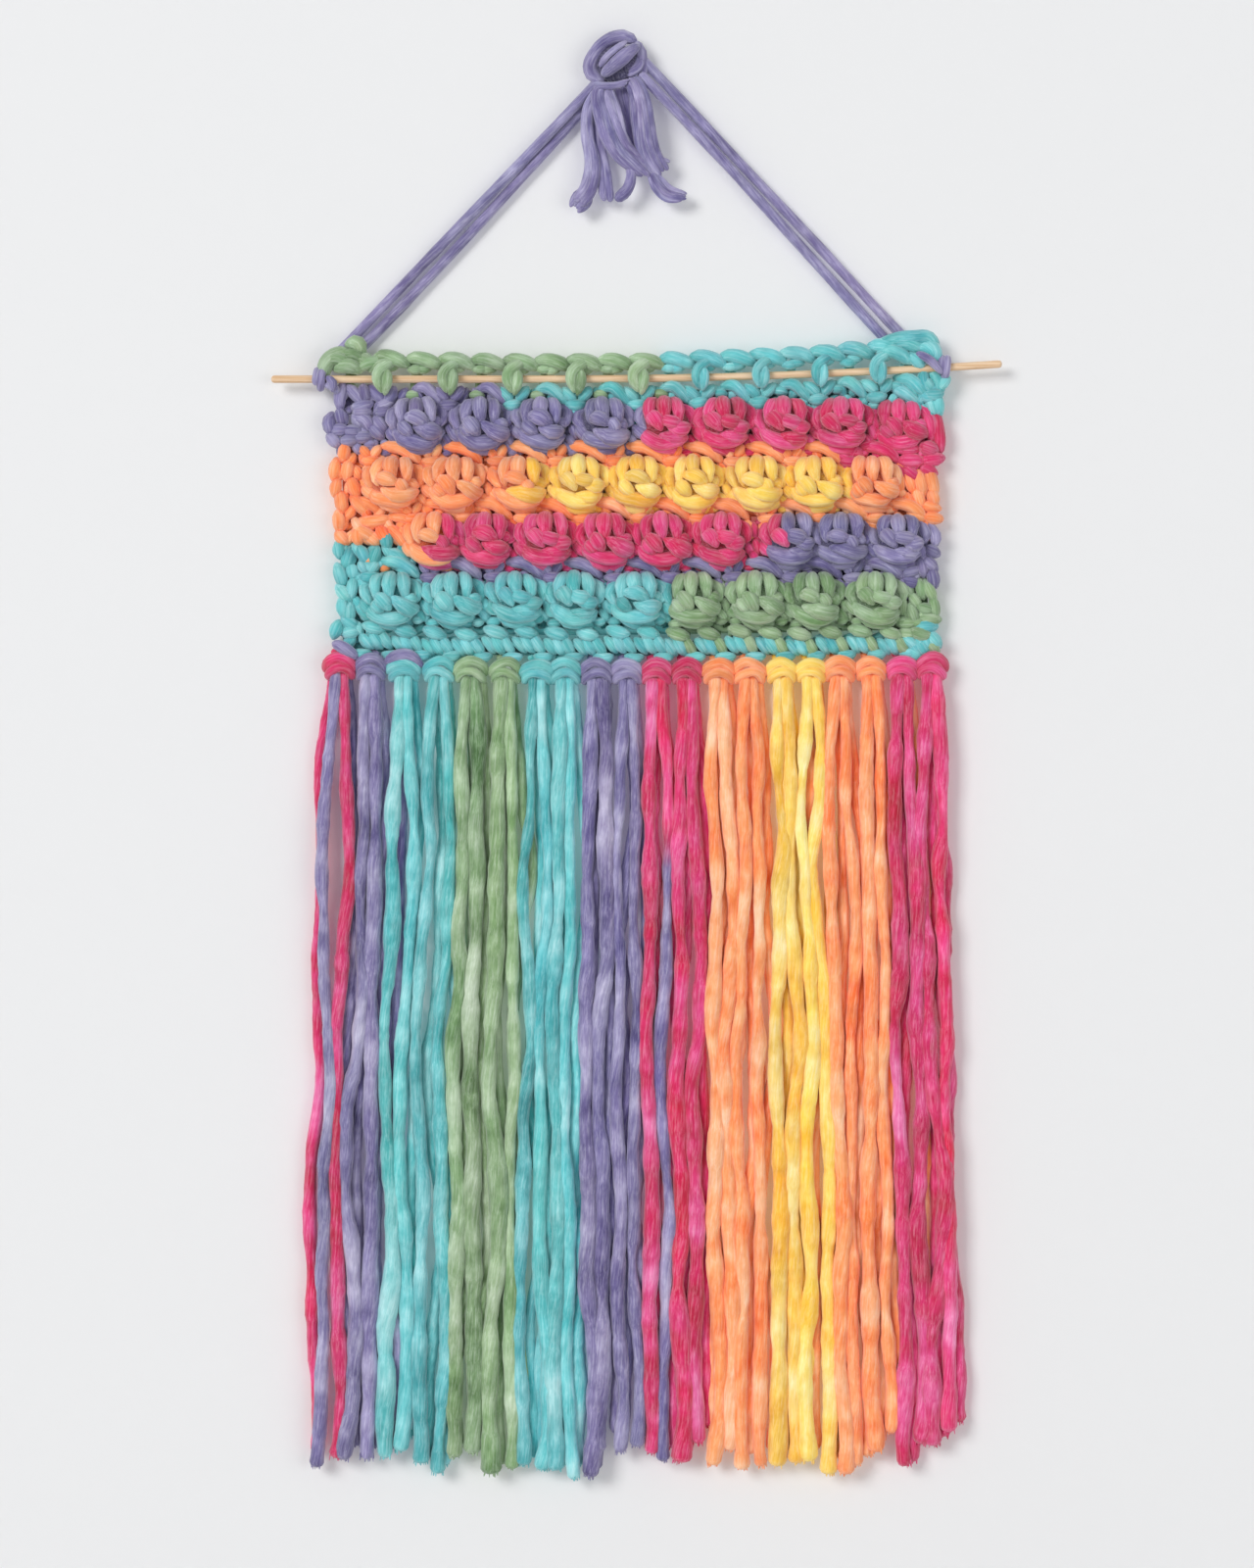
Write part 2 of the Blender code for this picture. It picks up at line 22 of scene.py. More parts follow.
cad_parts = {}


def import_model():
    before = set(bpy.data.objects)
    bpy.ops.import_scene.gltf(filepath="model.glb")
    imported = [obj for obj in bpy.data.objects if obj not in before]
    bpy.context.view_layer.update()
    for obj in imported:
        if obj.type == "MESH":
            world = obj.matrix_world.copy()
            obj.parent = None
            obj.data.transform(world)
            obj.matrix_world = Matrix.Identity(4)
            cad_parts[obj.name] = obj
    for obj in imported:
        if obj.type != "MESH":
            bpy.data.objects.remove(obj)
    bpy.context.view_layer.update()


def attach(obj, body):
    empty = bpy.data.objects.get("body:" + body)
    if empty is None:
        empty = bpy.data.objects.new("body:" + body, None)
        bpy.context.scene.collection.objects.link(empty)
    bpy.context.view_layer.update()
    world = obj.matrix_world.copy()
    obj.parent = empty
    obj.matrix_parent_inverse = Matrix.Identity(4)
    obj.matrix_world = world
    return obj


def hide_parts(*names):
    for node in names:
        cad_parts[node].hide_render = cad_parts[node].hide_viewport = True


LOG = logging.getLogger("wall_hanging")
MM = 0.001

Point = tuple[float, ...]
Colour = tuple[float, float, float]


def linear(value: float) -> float:
    """Give the linear value of one screen colour channel from 0 to 255."""
    share = value / 255
    return share / 12.92 if share <= 0.04045 else ((share + 0.055) / 1.055) ** 2.4


def mix(a: Colour, b: Colour, share: float) -> Colour:
    """Blend two colours."""
    return tuple(p + (q - p) * share for p, q in zip(a, b))


def deepen(colour: Colour, share: float) -> Colour:
    """Deepen a colour by a share, or make it paler by a negative one."""
    return tuple(channel ** (1.0 + share) for channel in colour)


class Dye(Enum):
    """The colours of the self-striping yarn, as they look on screen."""

    TEAL = (100, 190, 193)
    PURPLE = (126, 118, 162)
    MAGENTA = (214, 42, 104)
    ORANGE = (255, 153, 94)
    YELLOW = (255, 207, 90)
    GREEN = (140, 170, 126)

    def colour(self) -> Colour:
        """Give the dye as a linear colour."""
        return tuple(linear(v) for v in self.value)

    def shadow(self) -> Colour:
        """Give the yarn's colour, deepened and darkened as painted shade, for the bodies far in between the
        stitches.
        """
        return tuple(0.5 * channel for channel in deepen(self.colour(), 0.6))


YarnDye = Dye | tuple[Dye, Dye, float]


@dataclass(frozen=True)
class Stripe:
    """Which dye the yarn has along one row, from left to right.

    Args:
        runs: pairs of the x that a run reaches to, in mm, and its dye.
    """

    runs: tuple[tuple[float, Dye], ...]

    def at(self, x: float) -> Dye:
        """Give the dye at one place along the row."""
        return next((dye for reach, dye in self.runs if x <= reach), self.runs[-1][1])


# Past the end of every row, and where the green begins in the lowest rows.
FAR = 1e9
GREEN_START = 21.7
TOP_STRIPE = Stripe(((20.8, Dye.GREEN), (FAR, Dye.TEAL)))
FIRST_STRIPE = Stripe(((-48.6, Dye.PURPLE), (FAR, Dye.TEAL)))
BOBBLE_STRIPES = (
    Stripe(((9.4, Dye.PURPLE), (FAR, Dye.MAGENTA))),
    Stripe(((-35.5, Dye.ORANGE), (97.2, Dye.YELLOW), (FAR, Dye.ORANGE))),
    Stripe(((-76.0, Dye.ORANGE), (68.0, Dye.MAGENTA), (FAR, Dye.PURPLE))),
    Stripe(((GREEN_START, Dye.TEAL), (FAR, Dye.GREEN))),
)
PLAIN_STRIPES = (
    Stripe(((99.3, Dye.ORANGE), (FAR, Dye.MAGENTA))),
    Stripe(((FAR, Dye.ORANGE),)),
    Stripe(((-80.5, Dye.TEAL), (FAR, Dye.PURPLE))),
)
BASE_STRIPE = Stripe(((GREEN_START, Dye.TEAL), (127.9, Dye.GREEN), (FAR, Dye.TEAL)))
LAST_STRIPE = Stripe(((FAR, Dye.TEAL),))
# The height that each row of the fabric reaches down to, from the top, and its dyes.
BANDS = (
    (-131.0, FIRST_STRIPE),
    (-150.0, BOBBLE_STRIPES[0]),
    (-156.5, PLAIN_STRIPES[0]),
    (-174.0, BOBBLE_STRIPES[1]),
    (-180.0, PLAIN_STRIPES[1]),
    (-198.0, BOBBLE_STRIPES[2]),
    (-205.0, PLAIN_STRIPES[2]),
    (-222.5, BOBBLE_STRIPES[3]),
    (-229.0, BASE_STRIPE),
)
TEAL_CORNER = (-82.0, -189.0)

DOWEL_LEFT = -145.1
DOWEL_RIGHT = 159.7
DOWEL_Y = -8.0
DOWEL_RADIUS = 1.6
DOWEL_LOW = -120.5
POSTS = 20
# The height of each row of bobbles and the places of its nine bobbles.
BOBBLE_ROWS = (
    (-138.9, (-84.2, -57.6, -32.3, -6.1, 19.2, 44.1, 69.1, 92.8, 117.3)),
    (-163.4, (-94.0, -68.6, -41.3, -16.3, 7.8, 31.5, 57.6, 81.7, 105.4)),
    (-187.1, (-76.8, -55.6, -30.2, -5.7, 18.0, 42.5, 71.5, 92.8, 116.5)),
    (-211.7, (-94.8, -69.1, -42.5, -18.4, 7.4, 30.6, 57.2, 81.3, 107.1)),
)
BASE_FIRST_X = -101.7
BASE_PITCH = 12.67
BASE_STITCHES = 19
BASE_Z = -226.0


def dowel_z(x: float) -> float:
    """Give the height of the dowel's axis, straight at the left and bowed up at the right."""
    return DOWEL_LOW + 0.0001773 * max(0.0, x + 30.0) ** 2


def top_z(x: float) -> float:
    """Give the height of the top chain, which sags between the corners."""
    return -110.3 + 0.00029 * (x + 30.0) ** 2


def bottom_z(x: float) -> float:
    """Give the height of the lower edge, which the fringe pulls down a little."""
    return -235.5 - 2.3 * (1.0 - ((x - 6.0) / 127.0) ** 2)


def stitch_x(stitch: float) -> float:
    """Give the place of a stitch along the row, counted from the first post."""
    return -112.4 + 13.9 * stitch - 0.0559 * stitch * stitch


def dye_at(x: float, z: float) -> Dye:
    """Give the dye of the plain fabric at one point of the panel.

    Args:
        x: the place along the panel in mm.
        z: its height in mm.

    Returns:
        The dye of the row that the point is in.
    """
    if x < TEAL_CORNER[0] and z < TEAL_CORNER[1]:
        return Dye.TEAL
    return next((stripe for low, stripe in BANDS if z > low), LAST_STRIPE).at(x)


class Route:
    """A smooth line through control points, measured along its length."""

    def __init__(self, points: Sequence[Point], steps: int = 8) -> None:
        """Work out the line.

        Args:
            points: control points in mm.
            steps: short straight lengths between two control points.
        """
        knots = [Vector(point) for point in points]
        ends = [2 * knots[0] - knots[1], *knots, 2 * knots[-1] - knots[-2]]
        self.fine: list[Vector] = []
        for a, b, c, d in zip(ends, ends[1:], ends[2:], ends[3:]):
            for step in range(steps):
                t = step / steps
                self.fine.append(0.5 * (2 * b + (c - a) * t + (2 * a - 5 * b + 4 * c - d) * t * t
                                        + (3 * b - 3 * c + d - a) * t ** 3))
        self.fine.append(knots[-1])
        self.reach = [0.0]
        for start, end in zip(self.fine, self.fine[1:]):
            self.reach.append(self.reach[-1] + (end - start).length)

    @property
    def length(self) -> float:
        """Give the length in mm."""
        return self.reach[-1]

    def at(self, distance: float) -> Vector:
        """Give the point at a distance from the start.

        Args:
            distance: distance along the line in mm.

        Returns:
            The point in mm.
        """
        index = min(max(bisect_left(self.reach, distance), 1), len(self.reach) - 1)
        start, end = self.reach[index - 1], self.reach[index]
        share = (distance - start) / (end - start) if end > start else 0.0
        return self.fine[index - 1].lerp(self.fine[index], min(1.0, max(0.0, share)))

    def even(self, spacing: float) -> list[Vector]:
        """Give points at an even spacing, ends included."""
        count = max(2, round(self.length / spacing))
        return [self.at(self.length * number / count) for number in range(count + 1)]


class Ring(NamedTuple):
    """One ring of points round a line: its middle, two cross directions, size, colour and place along it."""

    centre: Vector
    side: Vector
    depth: Vector
    size: float
    colour: Colour
    stop: float


def wrap_tube(rings: list[Ring], sides: int, flat: float = 1.0, turn: float = 0.0) -> bmesh.types.BMesh:
    """Wrap a grid round a line of rings and close it.

    Args:
        rings: the rings in order, sizes and places in mm. The first and last are nearly points.
        sides: flat faces round the line.
        flat: depth as a share of the width.
        turn: where the wrapping starts, in radians.

    Returns:
        A closed tube in metres, with its dye and its lengthwise coordinates.
    """
    bm = bmesh.new()
    dye_and_shade_layer = bm.verts.layers.float_color.new("dye")
    yarn_layer = bm.verts.layers.float_vector.new("yarn")
    last = len(rings) - 1
    bmesh.ops.create_grid(bm, x_segments=sides, y_segments=last, size=1.0)
    angles = [turn + math.tau * n / sides for n in range(sides)]
    wheel = [(math.cos(angle), math.sin(angle)) for angle in angles]
    for vert in bm.verts:
        across, up = wheel[round((vert.co.x + 1.0) / 2.0 * sides) % sides]
        ring = rings[round((vert.co.y + 1.0) / 2.0 * last)]
        vert[dye_and_shade_layer] = (*ring.colour, 1.0)
        vert[yarn_layer] = (ring.size * across, ring.size * up, ring.stop)
        vert.co = (ring.centre + ring.side * (ring.size * across) + ring.depth * (ring.size * flat * up)) * MM
    bmesh.ops.remove_doubles(bm, verts=bm.verts, dist=0.012 * MM)
    bmesh.ops.recalc_face_normals(bm, faces=bm.faces)
    return bm


class Skein:
    """Lengths of yarn gathered into one mesh, each with its dye and its own lengthwise coordinates."""

    def __init__(self, name: str, seed: int) -> None:
        """Start an empty mesh.

        Args:
            name: the finished piece's name.
            seed: fixes the small irregularities.
        """
        self.name = name
        self.chance = random.Random(seed)
        self.whole = bmesh.new()
        self.whole.verts.layers.float_color.new("dye")
        self.whole.verts.layers.float_vector.new("yarn")
        self.scrap = bpy.data.meshes.new(f"{name}_scrap")

    def _frames(self, centres: list[Vector]) -> list[tuple[Vector, Vector]]:
        """Carry one pair of cross directions along a line without turning them.

        Args:
            centres: points of the line in mm.

        Returns:
            The sideways and the depth direction at each point.
        """
        frames = []
        depth = Vector((0.0, 1.0, 0.0))
        last = len(centres) - 1
        for index in range(len(centres)):
            along = (centres[min(index + 1, last)] - centres[max(index - 1, 0)]).normalized()
            flat = depth - along * depth.dot(along)
            if flat.length < 1e-4:
                flat = Vector((1.0, 0.0, 0.0)) - along * along.x
            depth = flat.normalized()
            frames.append((along.cross(depth).normalized(), depth))
        return frames

    def lay(self, points: Sequence[Point], radius: float, dye: YarnDye, sides: int = 9,
            spacing: float = 1.9, lumps: float = 0.07, flat: float = 1.0,
            taper: tuple[float, float] = (1.0, 1.0), tone: float = 0.07, swell: float = 0.0,
            point: float = 1.0) -> None:
        """Lay one length of yarn.

        Args:
            points: control points of its middle line, in mm.
            radius: half its thickness in mm.
            dye: its dye, or two dyes and the share of the length where the first turns into the second.
            sides: flat faces round the yarn.
            spacing: length of one face along the yarn, in mm.
            lumps: unevenness of the thickness, as a share of it.
            flat: depth of the yarn as a share of its width.
            taper: thickness at both ends, as a share of the full one.
            tone: how much its lightness and depth of dye may differ from its neighbours' and along it.
            swell: how much thicker its middle is, as a share.
            point: length of a rounded end as a multiple of half the thickness.
        """
        route = Route(points)
        length = route.length
        cap = min(radius * point, length * 0.4)
        count = max(2, round((length - 2 * cap) / spacing))
        inner = [cap + (length - 2 * cap) * number / count for number in range(count + 1)]
        stops = [0.0, 0.1 * cap, 0.4 * cap, *inner, length - 0.4 * cap, length - 0.1 * cap, length]
        centres = [route.at(stop) for stop in stops]
        frames = self._frames(centres)
        phase = self.chance.uniform(0.0, 500.0)
        shade = 1.0 + self.chance.uniform(-tone, tone)
        turn = self.chance.uniform(0.0, math.tau)
        rings = []
        for stop, centre, (side, depth) in zip(stops, centres, frames):
            share = stop / length
            near = min(stop, length - stop)
            round_end = math.sqrt(max(0.0, 1.0 - (1.0 - min(1.0, near / cap)) ** 2))
            bump = 1.0 + lumps * (2.0 * noise.noise(Vector((stop * 0.055, phase, 0.0)))
                                  + 0.7 * noise.noise(Vector((stop * 0.21, phase, 3.0))))
            bump *= taper[0] + (taper[1] - taper[0]) * share + swell * math.sin(math.pi * share)
            size = max(0.003, radius * bump * round_end)
            mottle = shade * (1.0 + 0.12 * noise.noise(Vector((stop * 0.06, phase, 7.0)))
                              + 0.07 * noise.noise(Vector((stop * 0.25, phase, 4.0))))
            tint = tone * (5.2 * noise.noise(Vector((stop * 0.025, phase, 31.0)))
                           + 3.2 * noise.noise(Vector((stop * 0.11, phase, 35.0))))
            colour = deepen(self._dye(dye, share, phase, mottle), max(-0.5, tint))
            rings.append(Ring(centre, side, depth, size, colour, stop + phase))
        self._keep(wrap_tube(rings, sides, flat, turn))

    def _dye(self, dye: YarnDye, share: float, phase: float, mottle: float) -> Colour:
        """Give the colour at one place along a length of yarn.

        Args:
            dye: its dye, or two dyes and the share where the first turns into the second.
            share: the place as a share of the length.
            phase: tells this length's irregularities from the others'.
            mottle: lightness at that place, near 1.

        Returns:
            The colour.
        """
        if isinstance(dye, Dye):
            colour = dye.colour()
        else:
            first, second, where = dye
            edge = where + 0.06 * noise.noise(Vector((phase, share * 9.0, 2.0)))
            colour = mix(first.colour(), second.colour(), min(1.0, max(0.0, (share - edge) / 0.08 + 0.5)))
        casts = (0.06 * noise.noise(Vector((share * 2.5, phase, 11.0 * n))) for n in range(3))
        return tuple(min(1.0, channel * mottle * (1.0 + cast)) for channel, cast in zip(colour, casts))

    def _keep(self, bm: bmesh.types.BMesh) -> None:
        """Add a finished length to the whole and free it.

        Args:
            bm: the length's mesh.
        """
        bm.to_mesh(self.scrap)
        bm.free()
        self.whole.from_mesh(self.scrap)

    def arc(self, points: Sequence[Point], radius: float, dye: YarnDye, depth: float = 7.0,
            dive: float = 2.6, jitter: float = 0.3, tuck: float = 1.0, **options: float) -> None:
        """Lay a stitch's yarn on the face, thinner at its ends, which go in between its neighbours.

        Args:
            points: control points (x, z) in mm.
            radius: half the yarn's thickness in mm.
            dye: its dye.
            depth: how far in front of the wall its middle line lies, in mm.
            dive: how much further back its ends are than its middle, in mm.
            jitter: how far a control point may stray, in mm.
            tuck: how much longer it is than its points at each end, in mm.
            options: passed on to lay.
        """
        spots = [Vector((x, 0.0, z)) for x, z in points]
        spots[0] = spots[0] + (spots[0] - spots[1]).normalized() * tuck
        spots[-1] = spots[-1] + (spots[-1] - spots[-2]).normalized() * tuck
        if len(spots) == 2:
            spots.insert(1, spots[0].lerp(spots[1], 0.5))
        bowed = []
        for number, spot in enumerate(spots):
            stray = [self.chance.uniform(-jitter, jitter) for _ in range(3)]
            out = depth - dive * (1.0 - math.sin(math.pi * number / (len(spots) - 1)))
            bowed.append((spot.x + stray[0], min(-radius - 0.2, -out + 0.5 * stray[1]), spot.z + stray[2]))
        shape = {"taper": (0.7, 0.7), "swell": 0.42, "spacing": 1.6, "point": 1.7, **options}
        self.lay(bowed, radius, dye, **shape)

    def dome(self, centre: Point, half: Point, dye: Dye) -> None:
        """Put in the rounded body behind a bobble's yarns, coloured with its dye's painted shade.

        Args:
            centre: its middle in mm.
            half: its half size in mm.
            dye: its dye.
        """
        bm = bmesh.new()
        dye_and_shade_layer = bm.verts.layers.float_color.new("dye")
        yarn_layer = bm.verts.layers.float_vector.new("yarn")
        bmesh.ops.create_uvsphere(bm, u_segments=16, v_segments=10, radius=1.0)
        for vert in bm.verts:
            spot = Vector([c + h * v for c, h, v in zip(centre, half, vert.co)])
            spot.y = min(spot.y, -3.2)
            # The body's colour is painted shade: the dye darkened as in the crevices between the yarns.
            vert[dye_and_shade_layer] = (*dye.shadow(), 1.0)
            vert[yarn_layer] = (spot.x, spot.z, spot.y)
            vert.co = spot * MM
        self._keep(bm)

    def finish(self, finish: YarnFinish, *replaced: str) -> bpy.types.Object:
        """Turn the gathered yarn into a finished piece.

        Args:
            finish: the yarn's finish.
            replaced: names of the plain solids that the piece stands for.

        Returns:
            The object.
        """
        mesh = bpy.data.meshes.new(self.name)
        self.whole.to_mesh(mesh)
        self.whole.free()
        bpy.data.meshes.remove(self.scrap)
        mesh.shade_smooth()
        mesh.materials.append(finish.material())
        return place(self.name, mesh, *replaced)


def place(name: str, mesh: bpy.types.Mesh, *replaced: str) -> bpy.types.Object:
    """Put a mesh into the scene as a piece that rides with the hanging.

    Args:
        name: the piece's name.
        mesh: its mesh, already in place.
        replaced: names of the plain solids that the piece stands for.

    Returns:
        The object.
    """
    piece = bpy.data.objects.new(name, mesh)
    bpy.context.collection.objects.link(piece)
    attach(piece, "root")
    if replaced:
        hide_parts(*replaced)
    LOG.info("%s: %d triangles", name, sum(len(face.vertices) - 2 for face in mesh.polygons))
    return piece


class NodeBench:
    """Small helper that adds and links shader nodes."""

    def __init__(self, tree: bpy.types.NodeTree) -> None:
        """Keep the tree."""
        self.tree = tree

    def add(self, kind: str, **settings: object) -> bpy.types.Node:
        """Add a node and set its properties.

        Args:
            kind: the node's type.
            settings: values of its properties, by name.

        Returns:
            The node.
        """
        node = self.tree.nodes.new(kind)
        for name, value in settings.items():
            setattr(node, name, value)
        return node

    def link(self, start: bpy.types.NodeSocket, end: bpy.types.NodeSocket) -> None:
        """Join two sockets."""
        self.tree.links.new(start, end)

    def math(self, operation: str, first: bpy.types.NodeSocket, second: float | bpy.types.NodeSocket,
             third: float = 0.0) -> bpy.types.NodeSocket:
        """Add a Math node.

        Args:
            operation: what it does.
            first: the socket that gives its first value.
            second: its second value, or the socket that gives it.
            third: its third value.

        Returns:
            Its output.
        """
        node = self.add("ShaderNodeMath", operation=operation)
        self.link(first, node.inputs[0])
        if isinstance(second, bpy.types.NodeSocket):
            self.link(second, node.inputs[1])
        else:
            node.inputs[1].default_value = second
        node.inputs[2].default_value = third
        return node.outputs[0]


def fibre_group() -> bpy.types.NodeTree:
    """Make the shared effect of fine wool fibres that run along a yarn with a slight twist.

    Returns:
        A group that takes the yarn's lengthwise coordinates in mm and gives a tone near 1, a mask of pale fuzz
        and painted highlight on the raised fibres, and a height.
    """
    known = bpy.data.node_groups.get("wool_fibres")
    if known:
        return known
    tree = bpy.data.node_groups.new("wool_fibres", "ShaderNodeTree")
    tree.interface.new_socket("Along", in_out="INPUT", socket_type="NodeSocketVector")
    tree.interface.new_socket("Twist", in_out="INPUT", socket_type="NodeSocketFloat")
    tree.interface.new_socket("Tone", in_out="OUTPUT", socket_type="NodeSocketFloat")
    tree.interface.new_socket("Fuzz_and_highlight", in_out="OUTPUT", socket_type="NodeSocketFloat")
    tree.interface.new_socket("Height", in_out="OUTPUT", socket_type="NodeSocketFloat")
    bench = NodeBench(tree)
    start = bench.add("NodeGroupInput")
    end = bench.add("NodeGroupOutput")
    parts = bench.add("ShaderNodeSeparateXYZ")
    bench.link(start.outputs["Along"], parts.inputs[0])
    angle = bench.math("MULTIPLY", parts.outputs[2], start.outputs["Twist"])
    turned = bench.add("ShaderNodeVectorRotate", rotation_type="Z_AXIS")
    bench.link(start.outputs["Along"], turned.inputs["Vector"])
    bench.link(angle, turned.inputs["Angle"])
    waves = []
    for scale, detail in (((1.3, 1.3, 0.1), 3.0), ((5.0, 5.0, 0.32), 2.0), ((0.26, 0.26, 0.14), 3.0)):
        stretched = bench.add("ShaderNodeVectorMath", operation="MULTIPLY")
        bench.link(turned.outputs[0], stretched.inputs[0])
        stretched.inputs[1].default_value = scale
        wave = bench.add("ShaderNodeTexNoise")
        wave.inputs["Scale"].default_value = 1.0
        wave.inputs["Detail"].default_value = detail
        bench.link(stretched.outputs[0], wave.inputs["Vector"])
        waves.append(wave.outputs["Fac"])
    fine = bench.math("MULTIPLY_ADD", waves[1], 0.35, 0.0)
    both = bench.math("MULTIPLY_ADD", waves[0], 0.65, 0.0)
    height = bench.math("ADD", fine, both)
    streak = bench.math("MULTIPLY_ADD", height, 0.9, 0.56)
    cloud = bench.math("MULTIPLY_ADD", waves[2], 1.0, 0.52)
    bench.link(bench.math("MULTIPLY", streak, cloud), end.inputs["Tone"])
    # Mask of pale fuzz on the raised fibres, which also stands for a painted highlight.
    pale = bench.math("MULTIPLY_ADD", height, 0.8, -0.37)
    pale.node.use_clamp = True
    bench.link(pale, end.inputs["Fuzz_and_highlight"])
    bench.link(height, end.inputs["Height"])
    return tree


@dataclass(frozen=True)
class YarnFinish:
    """Soft, loosely spun wool with the dye of its mesh, which holds painted shade on the bodies behind the
    stitches.

    Args:
        name: the material's name.
        twist: how fast the fibres turn round the yarn, in radians a mm.
        fuzz_and_highlight: colour of the pale loose fibres, mixed onto the raised fibres partly as a painted
            highlight.
        roughness: how matt it is.
        sheen: strength of the pale rim that soft fibres give.
        relief: strength of the fibres' bumps.
    """

    name: str = "soft_wool"
    twist: float = 0.025
    fuzz_and_highlight: Colour = (0.86, 0.87, 0.88)
    roughness: float = 0.92
    sheen: float = 0.36
    relief: float = 0.6

    def material(self) -> bpy.types.Material:
        """Make the material, or give the one that is already there.

        Returns:
            The material.
        """
        known = bpy.data.materials.get(self.name)
        if known:
            return known
        made = bpy.data.materials.new(self.name)
        made.use_nodes = True
        bench = NodeBench(made.node_tree)
        shader = made.node_tree.nodes["Principled BSDF"]
        shader.inputs["Roughness"].default_value = self.roughness
        shader.inputs["Specular IOR Level"].default_value = 0.25
        shader.inputs["Sheen Weight"].default_value = self.sheen
        shader.inputs["Sheen Roughness"].default_value = 0.6
        # The dye attribute holds each yarn's dye, and on the bodies behind the stitches painted shade.
        dye = bench.add("ShaderNodeAttribute", attribute_name="dye")
        along = bench.add("ShaderNodeAttribute", attribute_name="yarn")
        fibres = bench.add("ShaderNodeGroup", node_tree=fibre_group())
        fibres.inputs["Twist"].default_value = self.twist
        bench.link(along.outputs["Vector"], fibres.inputs["Along"])
        deep = bench.add("ShaderNodeGamma")
        bench.link(dye.outputs["Color"], deep.inputs["Color"])
        bench.link(bench.math("MULTIPLY_ADD", fibres.outputs["Tone"], -0.8, 1.8), deep.inputs["Gamma"])
        toned = bench.add("ShaderNodeVectorMath", operation="SCALE")
        bench.link(deep.outputs[0], toned.inputs[0])
        bench.link(bench.math("MULTIPLY_ADD", fibres.outputs["Tone"], 0.4, 0.6), toned.inputs["Scale"])
        # Mixes pale fuzz onto the raised fibres, partly as a painted highlight.
        fuzz_and_highlight_mix = bench.add("ShaderNodeMix", data_type="RGBA")
        bench.link(fibres.outputs["Fuzz_and_highlight"], fuzz_and_highlight_mix.inputs[0])
        bench.link(toned.outputs[0], fuzz_and_highlight_mix.inputs[6])
        fuzz_and_highlight_mix.inputs[7].default_value = (*self.fuzz_and_highlight, 1.0)
        bench.link(fuzz_and_highlight_mix.outputs[2], shader.inputs["Base Color"])
        relief = bench.add("ShaderNodeBump")
        relief.inputs["Strength"].default_value = self.relief
        relief.inputs["Distance"].default_value = 0.45 * MM
        bench.link(fibres.outputs["Height"], relief.inputs["Height"])
        bench.link(relief.outputs["Normal"], shader.inputs["Normal"])
        return made


@dataclass(frozen=True)
class BirchFinish:
    """Pale sanded birch with a faint lengthwise grain."""

    name: str = "pale_birch"
    light: Colour = (236, 205, 170)
    dark: Colour = (214, 174, 132)
    roughness: float = 0.6

    def material(self) -> bpy.types.Material:
        """Make the material.

        Returns:
            The material.
        """
        made = bpy.data.materials.new(self.name)
        made.use_nodes = True
        bench = NodeBench(made.node_tree)
        shader = made.node_tree.nodes["Principled BSDF"]
        shader.inputs["Roughness"].default_value = self.roughness
        spot = bench.add("ShaderNodeTexCoord")
        stretched = bench.add("ShaderNodeMapping")
        stretched.inputs["Scale"].default_value = (45.0, 1400.0, 1400.0)
        bench.link(spot.outputs["Object"], stretched.inputs["Vector"])
        grain = bench.add("ShaderNodeTexNoise")
        grain.inputs["Scale"].default_value = 1.0
        grain.inputs["Detail"].default_value = 4.0
        bench.link(stretched.outputs[0], grain.inputs["Vector"])
        ramp = bench.add("ShaderNodeValToRGB")
        ramp.color_ramp.elements[0].position = 0.35
        ramp.color_ramp.elements[0].color = (*(linear(v) for v in self.dark), 1.0)
        ramp.color_ramp.elements[1].position = 0.62
        ramp.color_ramp.elements[1].color = (*(linear(v) for v in self.light), 1.0)
        bench.link(grain.outputs["Fac"], ramp.inputs["Fac"])
        bench.link(ramp.outputs["Color"], shader.inputs["Base Color"])
        relief = bench.add("ShaderNodeBump")
        relief.inputs["Strength"].default_value = 0.2
        relief.inputs["Distance"].default_value = 0.1 * MM
        bench.link(grain.outputs["Fac"], relief.inputs["Height"])
        bench.link(relief.outputs["Normal"], shader.inputs["Normal"])
        return made


@dataclass(frozen=True)
class WallFinish:
    """Matt pale paint that is clear from behind, so that the back can be looked at."""

    name: str = "pale_wall"
    colour: float = 0.8

    def material(self) -> bpy.types.Material:
        """Make the material.

        Returns:
            The material.
        """
        made = bpy.data.materials.new(self.name)
        made.use_nodes = True
        bench = NodeBench(made.node_tree)
        shader = made.node_tree.nodes["Principled BSDF"]
        shader.inputs["Base Color"].default_value = (self.colour, self.colour, self.colour, 1.0)
        shader.inputs["Roughness"].default_value = 1.0
        shader.inputs["Specular IOR Level"].default_value = 0.0
        spot = bench.add("ShaderNodeTexCoord")
        grain = bench.add("ShaderNodeTexNoise")
        grain.inputs["Scale"].default_value = 330.0
        grain.inputs["Detail"].default_value = 3.0
        bench.link(spot.outputs["Object"], grain.inputs["Vector"])
        relief = bench.add("ShaderNodeBump")
        relief.inputs["Strength"].default_value = 0.12
        relief.inputs["Distance"].default_value = 0.4 * MM
        bench.link(grain.outputs["Fac"], relief.inputs["Height"])
        bench.link(relief.outputs["Normal"], shader.inputs["Normal"])
        side = bench.add("ShaderNodeNewGeometry")
        clear = bench.add("ShaderNodeBsdfTransparent")
        choice = bench.add("ShaderNodeMixShader")
        bench.link(side.outputs["Backfacing"], choice.inputs[0])
        bench.link(shader.outputs[0], choice.inputs[1])
        bench.link(clear.outputs[0], choice.inputs[2])
        bench.link(choice.outputs[0], made.node_tree.nodes["Material Output"].inputs["Surface"])
        return made


